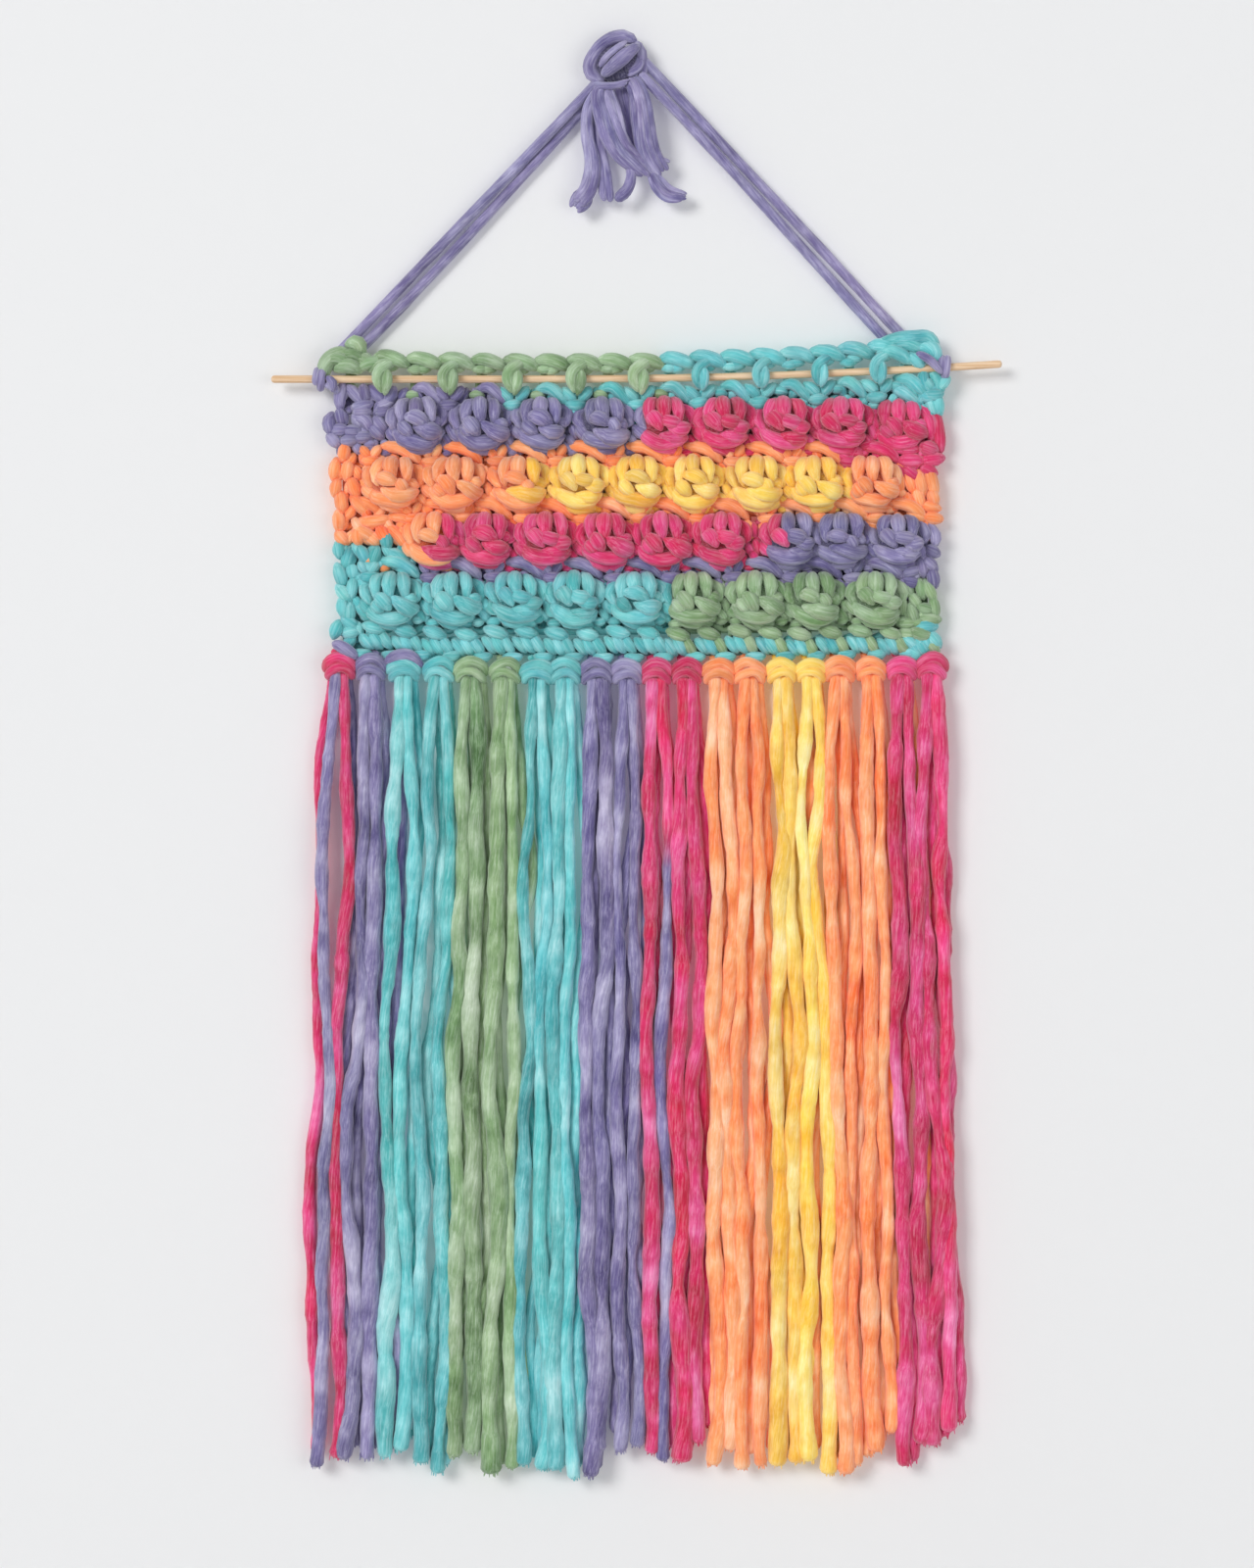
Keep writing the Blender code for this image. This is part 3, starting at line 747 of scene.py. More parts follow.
@dataclass
class Dowel:
    """The thin wooden stick, with rounded ends."""

    rounding: tuple[Point, ...] = ((0.0, 0.002), (0.1, 0.42), (0.4, 0.76), (0.9, 0.95), (1.6, 1.0))
    sides: int = 24
    steps: int = 48
    finish: BirchFinish = field(default_factory=BirchFinish)

    def build(self) -> bpy.types.Object:
        """Wrap the stick round its slightly bowed axis.

        Returns:
            The finished stick.
        """
        length = DOWEL_RIGHT - DOWEL_LEFT
        profile = [*self.rounding, *((length * n / self.steps, 1.0) for n in range(1, self.steps)),
                   *((length - offset, share) for offset, share in reversed(self.rounding))]
        rings = []
        for offset, share in profile:
            x = DOWEL_LEFT + offset
            along = Vector((1.0, 0.0, dowel_z(x + 0.5) - dowel_z(x - 0.5))).normalized()
            depth = Vector((0.0, 1.0, 0.0))
            centre = Vector((x, DOWEL_Y, dowel_z(x)))
            size = DOWEL_RADIUS * share
            rings.append(Ring(centre, along.cross(depth), depth, size, (1.0, 1.0, 1.0), offset))
        bm = wrap_tube(rings, self.sides)
        mesh = bpy.data.meshes.new("dowel_wood")
        bm.to_mesh(mesh)
        bm.free()
        mesh.shade_smooth()
        mesh.materials.append(self.finish.material())
        return place("dowel_wood", mesh, "dowel")


@dataclass
class Heading:
    """The chain along the top, the posts round the dowel and the first row below it."""

    finish: YarnFinish
    chain_radius: float = 2.85
    teal_post: float = 0.84

    def build(self) -> list[bpy.types.Object]:
        """Build all three.

        Returns:
            The finished pieces.
        """
        return [self._top_chain(), self._posts(), self._first_row()]

    def _top_chain(self) -> bpy.types.Object:
        """Lay the two strands of each chain stitch, one over the end of the next.

        Returns:
            The finished piece.
        """
        skein = Skein("top_chain", 11)
        for stitch in range(POSTS - 1):
            x = stitch_x(stitch + 0.25)
            top, dye = top_z(x), TOP_STRIPE.at(x)
            skein.arc([(x - 8.2, top - 5.0), (x - 4.0, top - 2.5), (x + 1.6, top - 2.3), (x + 6.8, top - 4.4)],
                      2.6, dye, depth=6.6, swell=0.3)
            skein.arc([(x - 7.0, top - 2.6), (x - 3.0, top - 2.2), (x + 2.6, top - 3.4), (x + 7.4, top - 5.8)],
                      self.chain_radius, dye, depth=9.4, swell=0.4)
            skein.arc([(x - 3.6, top - 6.7), (x + 2.4, top - 6.2)], 2.0, dye, depth=8.0)
        return skein.finish(self.finish)

    def _posts(self) -> bpy.types.Object:
        """Lay each post's yarn in front of the dowel or behind it.

        Returns:
            The finished piece.
        """
        skein = Skein("dowel_posts", 12)
        for stitch in range(POSTS - 1):
            x = stitch_x(stitch)
            z, dye = dowel_z(x), TOP_STRIPE.at(x)
            if stitch % 2:
                lean = skein.chance.uniform(-0.4, 0.4)
                wide = 1.0 if dye is Dye.GREEN else self.teal_post
                skein.lay([(x + 5.2, -7.6, z + 8.0), (x + 2.6, -11.0, z + 6.2),
                           (x - 1.2 * wide, -12.6, z + 3.2), (x - 2.2 * wide, -13.0, z - 0.6),
                           (x - 0.2 + lean, -11.6, z - 6.2 * wide)],
                          2.6 * wide, dye, flat=0.8, taper=(0.8, 0.6), swell=0.3, point=1.7)
                skein.lay([(x + 1.2, -11.0, z + 5.0), (x + 2.1 * wide, -12.6, z + 1.4),
                           (x + 1.9 * wide, -12.8, z - 2.4), (x + 0.6 + lean, -11.0, z - 7.2 * wide)],
                          2.4 * wide, dye, flat=0.8, taper=(0.5, 0.6), swell=0.45, point=1.7)
                skein.lay([(x - 0.4, -11.4, z + 3.6), (x - 0.2, -11.9, z - 0.6), (x + 0.2, -10.9, z - 4.6)],
                          1.7, dye)
            else:
                skein.lay([(x + 1.0, -4.4, z + 5.6), (x, -3.1, z + 1.0), (x - 0.4, -3.1, z - 2.0),
                           (x, -4.6, z - 5.6)], 2.3, dye, lumps=0.03, tone=0.04)
                skein.arc([(x - 2.8, z + 3.9), (x + 2.6, z + 4.1)], 1.8, dye, depth=8.6, dive=1.0, jitter=0.1)
        return skein.finish(self.finish)

    def _first_row(self) -> bpy.types.Object:
        """Lay the legs, arches and loops right below the dowel.

        Returns:
            The finished piece.
        """
        skein = Skein("first_row", 13)
        for stitch in range(3, POSTS, 2):
            x = stitch_x(stitch)
            z, dye = dowel_z(x), FIRST_STRIPE.at(x)
            skein.arc([(x - 6.0, z - 4.2), (x - 2.8, z - 6.6), (x - 0.6, z - 8.6)], 2.2, dye, depth=8.4)
            skein.arc([(x + 5.6, z - 3.8), (x + 3.8, z - 6.0), (x + 1.8, z - 8.6)], 2.2, dye, depth=8.4)
            skein.arc([(x - 4.0, z - 10.6), (x - 0.4, z - 11.2), (x + 3.4, z - 10.2)], 2.4, dye, depth=8.8)
            skein.arc([(x - 2.8, z - 14.2), (x + 0.8, z - 14.0)], 2.0, dye, depth=7.4)
        low, places = BOBBLE_ROWS[0]
        for x in places:
            z = dowel_z(x)
            dye = FIRST_STRIPE.at(x - 4.0)
            skein.arc([(x - 1.6, z - 4.2), (x + 3.0, z - 3.6), (x + 7.0, z - 6.4), (x + 10.6, z - 10.4)],
                      2.4, dye, depth=8.6)
            skein.arc([(x - 4.2, z - 6.6), (x + 0.4, z - 6.8)], 1.9, TOP_STRIPE.at(x), depth=7.6)
            skein.arc([(x + 9.4, low + 8.0), (x + 12.4, low + 3.4), (x + 12.9, low - 1.6)],
                      1.3, dye, depth=8.0)
        return skein.finish(self.finish)


@dataclass(frozen=True)
class BobbleYarn:
    """One yarn on a bobble: control points as shares of its half size, half thickness and lift in mm."""

    points: tuple[Point, ...]
    radius: float
    lift: float = 0.0


@dataclass
class Bobbles:
    """The four rows of bobbles, each one a bundle of yarns over a rounded body.

    Args:
        finish: the yarn's finish.
        half: half a bobble's width and height in mm.
        ground: how far in front of the wall its body starts, in mm.
        height: how far it stands out from there, in mm.
        flat_one: row and place of the one bobble that is flatter than the others.
        flat_share: its height as a share of theirs.
        body_width: width and height of the body, as a share of the bobble's.
        body_depth: depth of the body, as a share of the bobble's.
        crown_tip: thickness at the upper end of the crown's yarns, as a share of the full one.
        tip: thickness at every other end, as a share of the full one.
        stray: how far a control point may stray, as a share of the half size.
        bulge: how square the bobble is, as a power.
        inset: how far out the yarns' middle lines go, as a share of the half size.
        sink: how far the yarns sink into the bobble, in mm.
        dive: how much further in their ends are, in mm.
        crown: the yarns across the top.
        braids: the four ways in which the yarns in the middle cross.
        cradle: the yarns round the bottom.
    """

    finish: YarnFinish
    half: Point = (12.9, 11.8)
    ground: float = 6.0
    height: float = 12.4
    flat_one: tuple[int, int] = (0, 8)
    flat_share: float = 0.55
    body_width: float = 0.84
    body_depth: float = 0.74
    crown_tip: float = 0.36
    tip: float = 0.56
    stray: float = 0.05
    bulge: float = 2.1
    inset: float = 0.93
    sink: float = 1.4
    dive: float = 2.4
    crown: tuple[BobbleYarn, ...] = (
        BobbleYarn(((-0.56, 0.74), (-0.84, 0.42), (-0.88, 0.04), (-0.66, -0.30)), 2.8),
        BobbleYarn(((-0.20, 0.95), (-0.46, 0.62), (-0.56, 0.22), (-0.46, -0.18)), 3.0, 0.1),
        BobbleYarn(((0.0, 1.02), (-0.05, 0.66), (-0.04, 0.26), (0.06, -0.14)), 3.2, 0.3),
        BobbleYarn(((0.19, 0.96), (0.42, 0.62), (0.50, 0.26), (0.44, -0.14)), 3.0, 0.1),
        BobbleYarn(((0.52, 0.76), (0.84, 0.42), (0.92, 0.06), (0.82, -0.20)), 2.6),
    )
    braids: tuple[tuple[BobbleYarn, ...], ...] = (
        (
            BobbleYarn(((-0.60, 0.10), (-0.16, 0.08), (0.28, -0.14)), 2.8, 1.3),
            BobbleYarn(((0.06, 0.04), (0.30, -0.14), (0.42, -0.44)), 2.3, 0.7),
            BobbleYarn(((0.42, 0.0), (0.86, -0.14)), 2.4, 0.3),
            BobbleYarn(((-0.44, -0.30), (0.04, -0.50), (0.48, -0.54), (0.90, -0.36)), 3.1, 0.9),
        ),
        (
            BobbleYarn(((-0.54, 0.18), (-0.26, -0.12), (-0.02, -0.52)), 2.8, 1.0),
            BobbleYarn(((-0.02, 0.02), (0.32, -0.26), (0.70, -0.42), (0.96, -0.28)), 3.1, 1.1),
            BobbleYarn(((0.40, 0.06), (0.64, -0.04), (0.90, -0.06)), 2.4, 0.4),
            BobbleYarn(((-0.64, -0.08), (-0.46, -0.34), (-0.24, -0.54)), 2.5, 0.5),
        ),
        (
            BobbleYarn(((-0.52, 0.18), (0.0, 0.14), (0.44, -0.12)), 2.9, 1.3),
            BobbleYarn(((-0.62, 0.06), (-0.42, -0.26), (-0.12, -0.50)), 2.6, 0.7),
            BobbleYarn(((-0.14, -0.16), (0.36, -0.38), (0.86, -0.30)), 3.0, 0.9),
            BobbleYarn(((0.52, 0.10), (0.88, -0.04)), 2.2, 0.3),
        ),
        (
            BobbleYarn(((-0.70, 0.30), (-0.34, 0.02), (-0.10, -0.36)), 2.9, 1.1),
            BobbleYarn(((-0.36, 0.22), (0.14, 0.0), (0.64, -0.02)), 2.6, 1.2),
            BobbleYarn(((0.06, -0.12), (0.44, -0.24), (0.86, -0.10)), 2.8, 0.9),
            BobbleYarn(((-0.20, -0.46), (0.28, -0.58), (0.76, -0.46)), 2.7, 0.7),
        ),
    )
    cradle: tuple[BobbleYarn, ...] = (
        BobbleYarn(((-0.98, 0.02), (-0.84, -0.40), (-0.46, -0.70)), 2.5),
        BobbleYarn(((-0.86, -0.16), (-0.62, -0.52), (-0.16, -0.72), (0.34, -0.72), (0.84, -0.44)), 3.0, 0.2),
        BobbleYarn(((-0.74, -0.54), (-0.32, -0.86), (0.12, -0.95), (0.56, -0.86), (0.88, -0.52)), 2.7, 0.3),
        BobbleYarn(((1.0, 0.06), (1.02, -0.30), (0.84, -0.64)), 2.1, -0.3),
    )

    def build(self) -> list[bpy.types.Object]:
        """Build one piece for each row.

        Returns:
            The finished pieces.
        """
        return [self._row(number, z, places) for number, (z, places) in enumerate(BOBBLE_ROWS)]

    def _row(self, number: int, z: float, places: tuple[float, ...]) -> bpy.types.Object:
        """Build one row of bobbles and the small stitches between them.

        Args:
            number: the row, counted from the top.
            z: the height of its bobbles' middles in mm.
            places: the x of each of them in mm.

        Returns:
            The finished piece.
        """
        skein = Skein(f"bobble_row_{number + 1}", 21 + number)
        stripe = BOBBLE_STRIPES[number]
        for index, x in enumerate(places):
            half = (self.half[0] * skein.chance.uniform(0.96, 1.04),
                    self.half[1] * skein.chance.uniform(0.97, 1.03))
            height = self.height * (self.flat_share if (number, index) == self.flat_one else 1.0)
            body = (half[0] * self.body_width, height * self.body_depth, half[1] * self.body_width)
            # The body behind the yarns is coloured in the painted shade of the row's dye.
            skein.dome((x, -self.ground, z), body, stripe.at(x))
            braid = self.braids[skein.chance.randrange(len(self.braids))]
            for yarn in (*self.crown, *braid, *self.cradle):
                first = self.crown_tip if yarn in self.crown else self.tip
                self._yarn(skein, yarn, (x, z), (*half, height), stripe, first)
            if index:
                self._between(skein, (places[index - 1] + x) / 2, z, stripe)
        return skein.finish(self.finish)

    def _yarn(self, skein: Skein, yarn: BobbleYarn, centre: Point, half: Point, stripe: Stripe,
              first: float) -> None:
        """Lay one yarn over a bobble's body.

        Args:
            skein: what it is laid into.
            yarn: the yarn.
            centre: the bobble's middle (x, z) in mm.
            half: its half width, its half height and how far it stands out, in mm.
            stripe: the row's dyes.
            first: thickness at the yarn's start, as a share of the full one.
        """
        chance = skein.chance
        spots = []
        for across, up in yarn.points:
            across += chance.uniform(-self.stray, self.stray)
            up += chance.uniform(-self.stray, self.stray)
            reach = min(1.0, abs(across) ** self.bulge + abs(up) ** self.bulge)
            out = self.ground + half[2] * (1.0 - reach) ** 0.5
            spots.append((centre[0] + half[0] * across * self.inset, yarn.lift + out - self.sink,
                          centre[1] + half[1] * up * self.inset))
        last = len(spots) - 1
        points = [(x, -(out - (self.dive if n in (0, last) else 0.0)), z)
                  for n, (x, out, z) in enumerate(spots)]
        middle = centre[0] + half[0] * yarn.points[len(yarn.points) // 2][0]
        skein.lay(points, yarn.radius * chance.uniform(1.02, 1.16), stripe.at(middle), sides=10, spacing=1.6,
                  flat=0.8, taper=(first, self.tip), swell=0.5, point=2.2, tone=0.08)

    def _between(self, skein: Skein, x: float, z: float, stripe: Stripe) -> None:
        """Lay the small plain stitch between two bobbles.

        Args:
            skein: what it is laid into.
            x: the place between the bobbles in mm.
            z: the row's height in mm.
            stripe: the row's dyes.
        """
        dye = stripe.at(x)
        skein.arc([(x - 1.0, z + 6.0), (x - 0.2, z + 1.0)], 1.7, dye, depth=8.2)
        skein.arc([(x - 0.6, z - 0.6), (x + 1.6, z - 5.8)], 1.8, dye, depth=8.4)
        skein.arc([(x - 2.0, z - 5.4), (x + 0.4, z - 8.6)], 1.7, dye, depth=7.8)


@dataclass
class PlainRows:
    """The plain stitches between the bobble rows and along the bottom."""

    finish: YarnFinish

    def build(self) -> list[bpy.types.Object]:
        """Build one piece for each plain row.

        Returns:
            The finished pieces.
        """
        rows = [self._row(number) for number in range(len(PLAIN_STRIPES))]
        return [*rows, self._base()]

    def _row(self, number: int) -> bpy.types.Object:
        """Lay one plain row above its row of bobbles.

        Args:
            number: the row, counted from the top.

        Returns:
            The finished piece.
        """
        skein = Skein(f"plain_row_{number + 1}", 31 + number)
        stripe = PLAIN_STRIPES[number]
        above = BOBBLE_STRIPES[number]
        low, places = BOBBLE_ROWS[number + 1]
        top = low + 11.4
        for x in places:
            dye, over = stripe.at(x), above.at(x - 8.0)
            skein.arc([(x - 4.6, top + 3.8), (x + 2.6, top + 3.2), (x + 7.6, top + 0.6),
                       (x + 10.8, top - 2.8)], 2.6, dye, depth=8.8)
            skein.arc([(x + 9.8, top - 3.4), (x + 12.4, top - 7.4), (x + 12.7, top - 11.4)],
                      1.6, dye, depth=7.6)
            skein.arc([(x - 13.2, top + 2.6), (x - 10.6, top - 0.8)], 1.9, dye, depth=8.2)
            skein.arc([(x - 6.4, top + 3.4), (x - 8.8, top - 0.6)], 1.9, dye, depth=8.2)
            skein.arc([(x - 13.0, top - 2.4), (x - 9.2, top - 3.2), (x - 5.4, top - 2.2)], 2.3, dye, depth=8.8)
            skein.arc([(x - 12.2, top - 6.2), (x - 9.2, top - 6.6)], 1.9, dye, depth=8.0)
            skein.arc([(x - 11.6, top + 4.8), (x - 8.4, top + 4.6)], 1.8, over, depth=7.2)
            skein.arc([(x - 4.4, top + 0.8), (x - 1.8, top + 1.2)], 1.5, over, depth=6.8)
        return skein.finish(self.finish)

    def _base(self) -> bpy.types.Object:
        """Lay the last plain row: ovals, slanting legs below them and the loops that hold the fringe.

        Returns:
            The finished piece.
        """
        skein = Skein("base_row", 35)
        for number in range(BASE_STITCHES):
            x = BASE_FIRST_X + BASE_PITCH * number
            z = BASE_Z + (2.0 if number == 0 else 0.0) + 0.6 * math.sin(number * 1.7)
            dye, last = BASE_STRIPE.at(x), LAST_STRIPE.at(x)
            if number % 2:
                skein.arc([(x - 5.4, z + 4.8), (x - 1.4, z + 6.8), (x + 3.4, z + 5.6)], 2.3, dye, depth=8.0)
                skein.arc([(x + 3.6, z + 4.6), (x + 6.4, z + 5.2)], 1.8, dye, depth=7.4)
            else:
                skein.arc([(x - 3.2, z + 4.0), (x + 0.8, z + 4.4)], 2.0, dye, depth=7.6)
                skein.arc([(x + 2.8, z + 6.4), (x + 4.2, z + 2.6)], 1.6, dye, depth=7.6)
            third = Dye.GREEN if x > GREEN_START else last
            legs = ((-5.4, -3.2, last, 2.1), (-1.8, -1.8, last, 2.4), (2.2, -1.8, third, 2.3))
            for start, high, leg, thick in legs:
                skein.arc([(x + start, z + high), (x + start + 2.0, z - 5.2), (x + start + 4.4, z - 8.4)],
                          thick, leg, depth=7.9)
            skein.arc([(x - 4.8, z + 1.4), (x - 0.2, z - 0.3), (x + 4.2, z - 1.2)], 2.5, dye,
                      depth=9.4, tuck=0.7)
            edge = bottom_z(x)
            skein.arc([(x - 9.4, edge + 1.8), (x - 6.0, edge + 0.9), (x - 2.6, edge + 1.8)],
                      2.2, last, depth=7.6)
        return skein.finish(self.finish)


# The small stitches down the left edge, each one as points (x, z).
LEFT_CORNER_YARNS = (
    ((-115.4, -123.0), (-116.5, -127.5), (-116.5, -132.0)),
    ((-116.5, -134.4), (-115.6, -138.1)),
    ((-120.1, -135.7), (-120.9, -138.9), (-120.1, -142.2)),
    ((-119.3, -141.8), (-114.4, -141.4)),
    ((-114.4, -142.2), (-108.7, -142.2)),
    ((-120.5, -144.6), (-118.1, -147.1)),
    ((-112.8, -123.8), (-109.9, -126.7), (-107.5, -129.5)),
    ((-106.6, -123.8), (-105.8, -128.3)),
    ((-104.2, -124.2), (-100.9, -127.1), (-98.5, -129.1)),
    ((-94.4, -125.0), (-96.4, -129.5)),
    ((-110.3, -132.0), (-107.1, -131.6), (-103.8, -130.3)),
    ((-100.5, -131.2), (-97.2, -130.8), (-94.4, -129.1)),
    ((-109.5, -134.0), (-105.4, -133.6)),
    ((-99.7, -134.0), (-96.8, -133.6)),
    ((-110.3, -136.9), (-106.2, -137.3), (-103.8, -141.8)),
    ((-101.3, -137.3), (-99.7, -138.9), (-97.7, -141.4)),
    ((-103.0, -141.0), (-99.7, -144.2)),
    ((-109.5, -145.1), (-104.2, -144.6)),
    ((-115.2, -146.3), (-110.3, -145.9)),
    ((-114.4, -148.3), (-115.2, -153.6)),
    ((-118.1, -154.5), (-118.9, -161.8)),
    ((-113.2, -155.3), (-114.0, -161.4)),
    ((-117.7, -163.4), (-118.5, -167.9)),
    ((-112.0, -162.6), (-109.5, -168.8)),
    ((-116.5, -168.3), (-115.6, -174.9)),
    ((-111.1, -170.0), (-105.4, -175.7)),
    ((-117.3, -176.5), (-116.5, -183.1)),
    ((-107.5, -179.4), (-102.2, -179.8), (-96.4, -178.6)),
    ((-116.9, -185.1), (-114.4, -188.0)),
    ((-109.5, -184.3), (-108.7, -188.4)),
    ((-104.6, -185.5), (-101.3, -188.0)),
    ((-97.7, -185.1), (-96.8, -189.6)),
    ((-117.3, -189.6), (-116.5, -193.7)),
    ((-112.4, -191.2), (-114.0, -198.6)),
    ((-108.3, -191.2), (-105.4, -196.1)),
    ((-101.3, -191.2), (-103.0, -196.9)),
    ((-96.8, -192.9), (-91.5, -194.5), (-87.4, -199.4)),
    ((-107.9, -199.0), (-101.3, -198.6)),
    ((-117.7, -198.6), (-115.2, -205.9)),
    ((-111.5, -199.4), (-111.1, -201.8)),
    ((-116.9, -207.6), (-113.2, -211.7)),
    ((-111.1, -204.3), (-112.0, -210.8)),
    ((-108.3, -204.3), (-104.6, -209.2), (-101.3, -212.5)),
    ((-116.0, -213.3), (-115.2, -218.2)),
    ((-112.8, -214.9), (-112.8, -220.6)),
    ((-117.3, -222.3), (-118.9, -227.2)),
    ((-114.4, -220.6), (-110.3, -223.1)),
    ((-114.4, -226.4), (-110.3, -225.5)),
    ((-109.1, -214.9), (-105.4, -218.2), (-103.0, -219.8)),
    ((-109.9, -171.6), (-104.6, -172.0), (-99.7, -175.7)),
    ((-94.8, -177.7), (-89.9, -178.1), (-85.0, -179.8)),
    ((-109.5, -183.5), (-105.4, -185.1), (-100.9, -188.0)),
    ((-99.7, -182.2), (-98.5, -185.1), (-96.4, -187.5)),
    ((-95.6, -182.6), (-91.9, -185.5), (-88.7, -190.0)),
    ((-91.5, -183.5), (-89.1, -187.1)),
    ((-92.3, -198.8), (-85.4, -201.0)),
)


@dataclass(frozen=True)
class EdgeYarn:
    """One yarn at an edge or corner: its dye, half thickness and route (x, z) in mm."""

    dye: Dye
    radius: float
    route: tuple[Point, ...]


# The small stitches down the right edge, and those round both upper corners.
RIGHT_YARNS = (
    EdgeYarn(Dye.TEAL, 2.0, ((127.5, -116.5), (126.9, -121.8), (129.9, -125.4))),
    EdgeYarn(Dye.TEAL, 2.0, ((129.9, -117.3), (133.1, -121.2), (133.7, -126.2))),
    EdgeYarn(Dye.TEAL, 2.0, ((126.9, -123.0), (131.9, -124.2))),
    EdgeYarn(Dye.TEAL, 2.0, ((126.3, -126.2), (129.9, -128.1), (133.7, -125.6))),
    EdgeYarn(Dye.TEAL, 2.0, ((129.9, -128.7), (131.9, -134.3))),
    EdgeYarn(Dye.TEAL, 1.8, ((132.8, -127.5), (133.7, -134.3))),
    EdgeYarn(Dye.TEAL, 2.0, ((116.2, -119.9), (121.2, -121.8), (123.7, -126.8))),
    EdgeYarn(Dye.TEAL, 2.0, ((115.0, -124.2), (118.7, -126.2), (123.7, -129.3))),
    EdgeYarn(Dye.TEAL, 1.8, ((121.2, -129.9), (125.6, -134.3))),
    EdgeYarn(Dye.MAGENTA, 2.2, ((127.5, -134.3), (129.9, -139.3), (130.6, -145.5))),
    EdgeYarn(Dye.MAGENTA, 2.0, ((132.4, -134.4), (133.7, -143.0), (134.3, -149.3))),
    EdgeYarn(Dye.MAGENTA, 2.5, ((126.9, -148.7), (131.2, -150.0))),
    EdgeYarn(Dye.MAGENTA, 2.5, ((127.5, -154.3), (134.3, -153.1))),
    EdgeYarn(Dye.MAGENTA, 2.5, ((116.9, -149.3), (124.3, -149.3))),
    EdgeYarn(Dye.MAGENTA, 2.5, ((117.5, -154.3), (126.3, -154.3))),
    EdgeYarn(Dye.MAGENTA, 1.8, ((119.3, -158.1), (124.3, -161.8))),
    EdgeYarn(Dye.MAGENTA, 2.0, ((126.9, -157.5), (131.2, -159.4))),
    EdgeYarn(Dye.MAGENTA, 2.0, ((89.9, -151.2), (96.2, -153.6))),
    EdgeYarn(Dye.MAGENTA, 2.0, ((96.2, -150.0), (101.2, -151.2))),
    EdgeYarn(Dye.MAGENTA, 2.0, ((101.3, -148.7), (106.2, -147.1))),
    EdgeYarn(Dye.MAGENTA, 2.0, ((109.5, -145.5), (116.0, -147.1))),
    EdgeYarn(Dye.ORANGE, 2.0, ((125.0, -159.4), (126.9, -168.1))),
    EdgeYarn(Dye.ORANGE, 2.0, ((129.4, -158.1), (131.9, -168.1))),
    EdgeYarn(Dye.ORANGE, 2.0, ((115.6, -157.3), (117.5, -166.7))),
    EdgeYarn(Dye.ORANGE, 1.8, ((120.0, -159.4), (122.5, -166.7))),
    EdgeYarn(Dye.ORANGE, 2.0, ((130.3, -167.5), (131.6, -172.0))),
    EdgeYarn(Dye.ORANGE, 2.0, ((124.4, -167.1), (126.1, -172.8))),
    EdgeYarn(Dye.ORANGE, 2.0, ((127.3, -173.2), (133.0, -174.2))),
    EdgeYarn(Dye.ORANGE, 2.2, ((127.9, -178.0), (133.6, -178.6))),
    EdgeYarn(Dye.ORANGE, 2.0, ((120.1, -169.2), (122.2, -174.9))),
    EdgeYarn(Dye.ORANGE, 2.0, ((121.8, -176.1), (126.7, -179.0))),
    EdgeYarn(Dye.PURPLE, 2.0, ((128.5, -181.0), (131.7, -185.5), (131.7, -188.8))),
    EdgeYarn(Dye.PURPLE, 2.2, ((128.5, -191.2), (132.3, -192.9))),
    EdgeYarn(Dye.PURPLE, 2.0, ((127.9, -195.7), (131.7, -199.2))),
    EdgeYarn(Dye.PURPLE, 2.0, ((130.3, -200.5), (131.7, -206.1))),
    EdgeYarn(Dye.PURPLE, 2.0, ((125.4, -195.7), (127.3, -201.7))),
    EdgeYarn(Dye.PURPLE, 2.0, ((119.2, -201.0), (124.8, -199.8))),
    EdgeYarn(Dye.PURPLE, 2.0, ((119.2, -204.9), (123.6, -205.5))),
    EdgeYarn(Dye.PURPLE, 2.0, ((114.8, -198.0), (123.6, -196.9))),
    EdgeYarn(Dye.PURPLE, 1.8, ((126.3, -182.2), (127.5, -188.0))),
    EdgeYarn(Dye.PURPLE, 1.8, ((124.2, -189.6), (126.7, -193.7))),
    EdgeYarn(Dye.GREEN, 1.8, ((125.4, -204.9), (126.7, -210.4))),
    EdgeYarn(Dye.GREEN, 2.0, ((127.9, -205.5), (131.1, -211.7))),
    EdgeYarn(Dye.GREEN, 1.8, ((131.1, -212.5), (132.3, -218.6))),
    EdgeYarn(Dye.GREEN, 2.0, ((125.4, -215.5), (129.8, -216.7))),
    EdgeYarn(Dye.GREEN, 2.2, ((126.1, -220.5), (133.0, -220.5))),
    EdgeYarn(Dye.GREEN, 2.0, ((116.7, -205.5), (121.7, -210.4))),
    EdgeYarn(Dye.GREEN, 1.8, ((117.9, -211.7), (118.5, -217.8))),
    EdgeYarn(Dye.GREEN, 2.0, ((121.1, -215.3), (123.6, -221.1))),
    EdgeYarn(Dye.GREEN, 2.0, ((116.7, -222.3), (124.2, -221.7))),
    EdgeYarn(Dye.GREEN, 1.8, ((117.3, -226.1), (123.6, -226.8))),
    EdgeYarn(Dye.GREEN, 1.8, ((122.2, -210.8), (125.0, -214.5))),
    EdgeYarn(Dye.TEAL, 2.5, ((124.2, -224.3), (131.7, -223.3))),
    EdgeYarn(Dye.TEAL, 2.0, ((124.8, -228.0), (126.1, -232.4))),
    EdgeYarn(Dye.TEAL, 2.5, ((129.1, -226.8), (133.2, -231.3))),
    EdgeYarn(Dye.TEAL, 2.0, ((121.1, -234.1), (125.4, -236.6))),
    EdgeYarn(Dye.TEAL, 2.0, ((114.8, -228.6), (118.5, -233.6))),
    EdgeYarn(Dye.TEAL, 2.0, ((119.2, -228.6), (124.2, -232.4))),
    EdgeYarn(Dye.TEAL, 2.0, ((127.5, -226.4), (129.1, -232.1))),
)
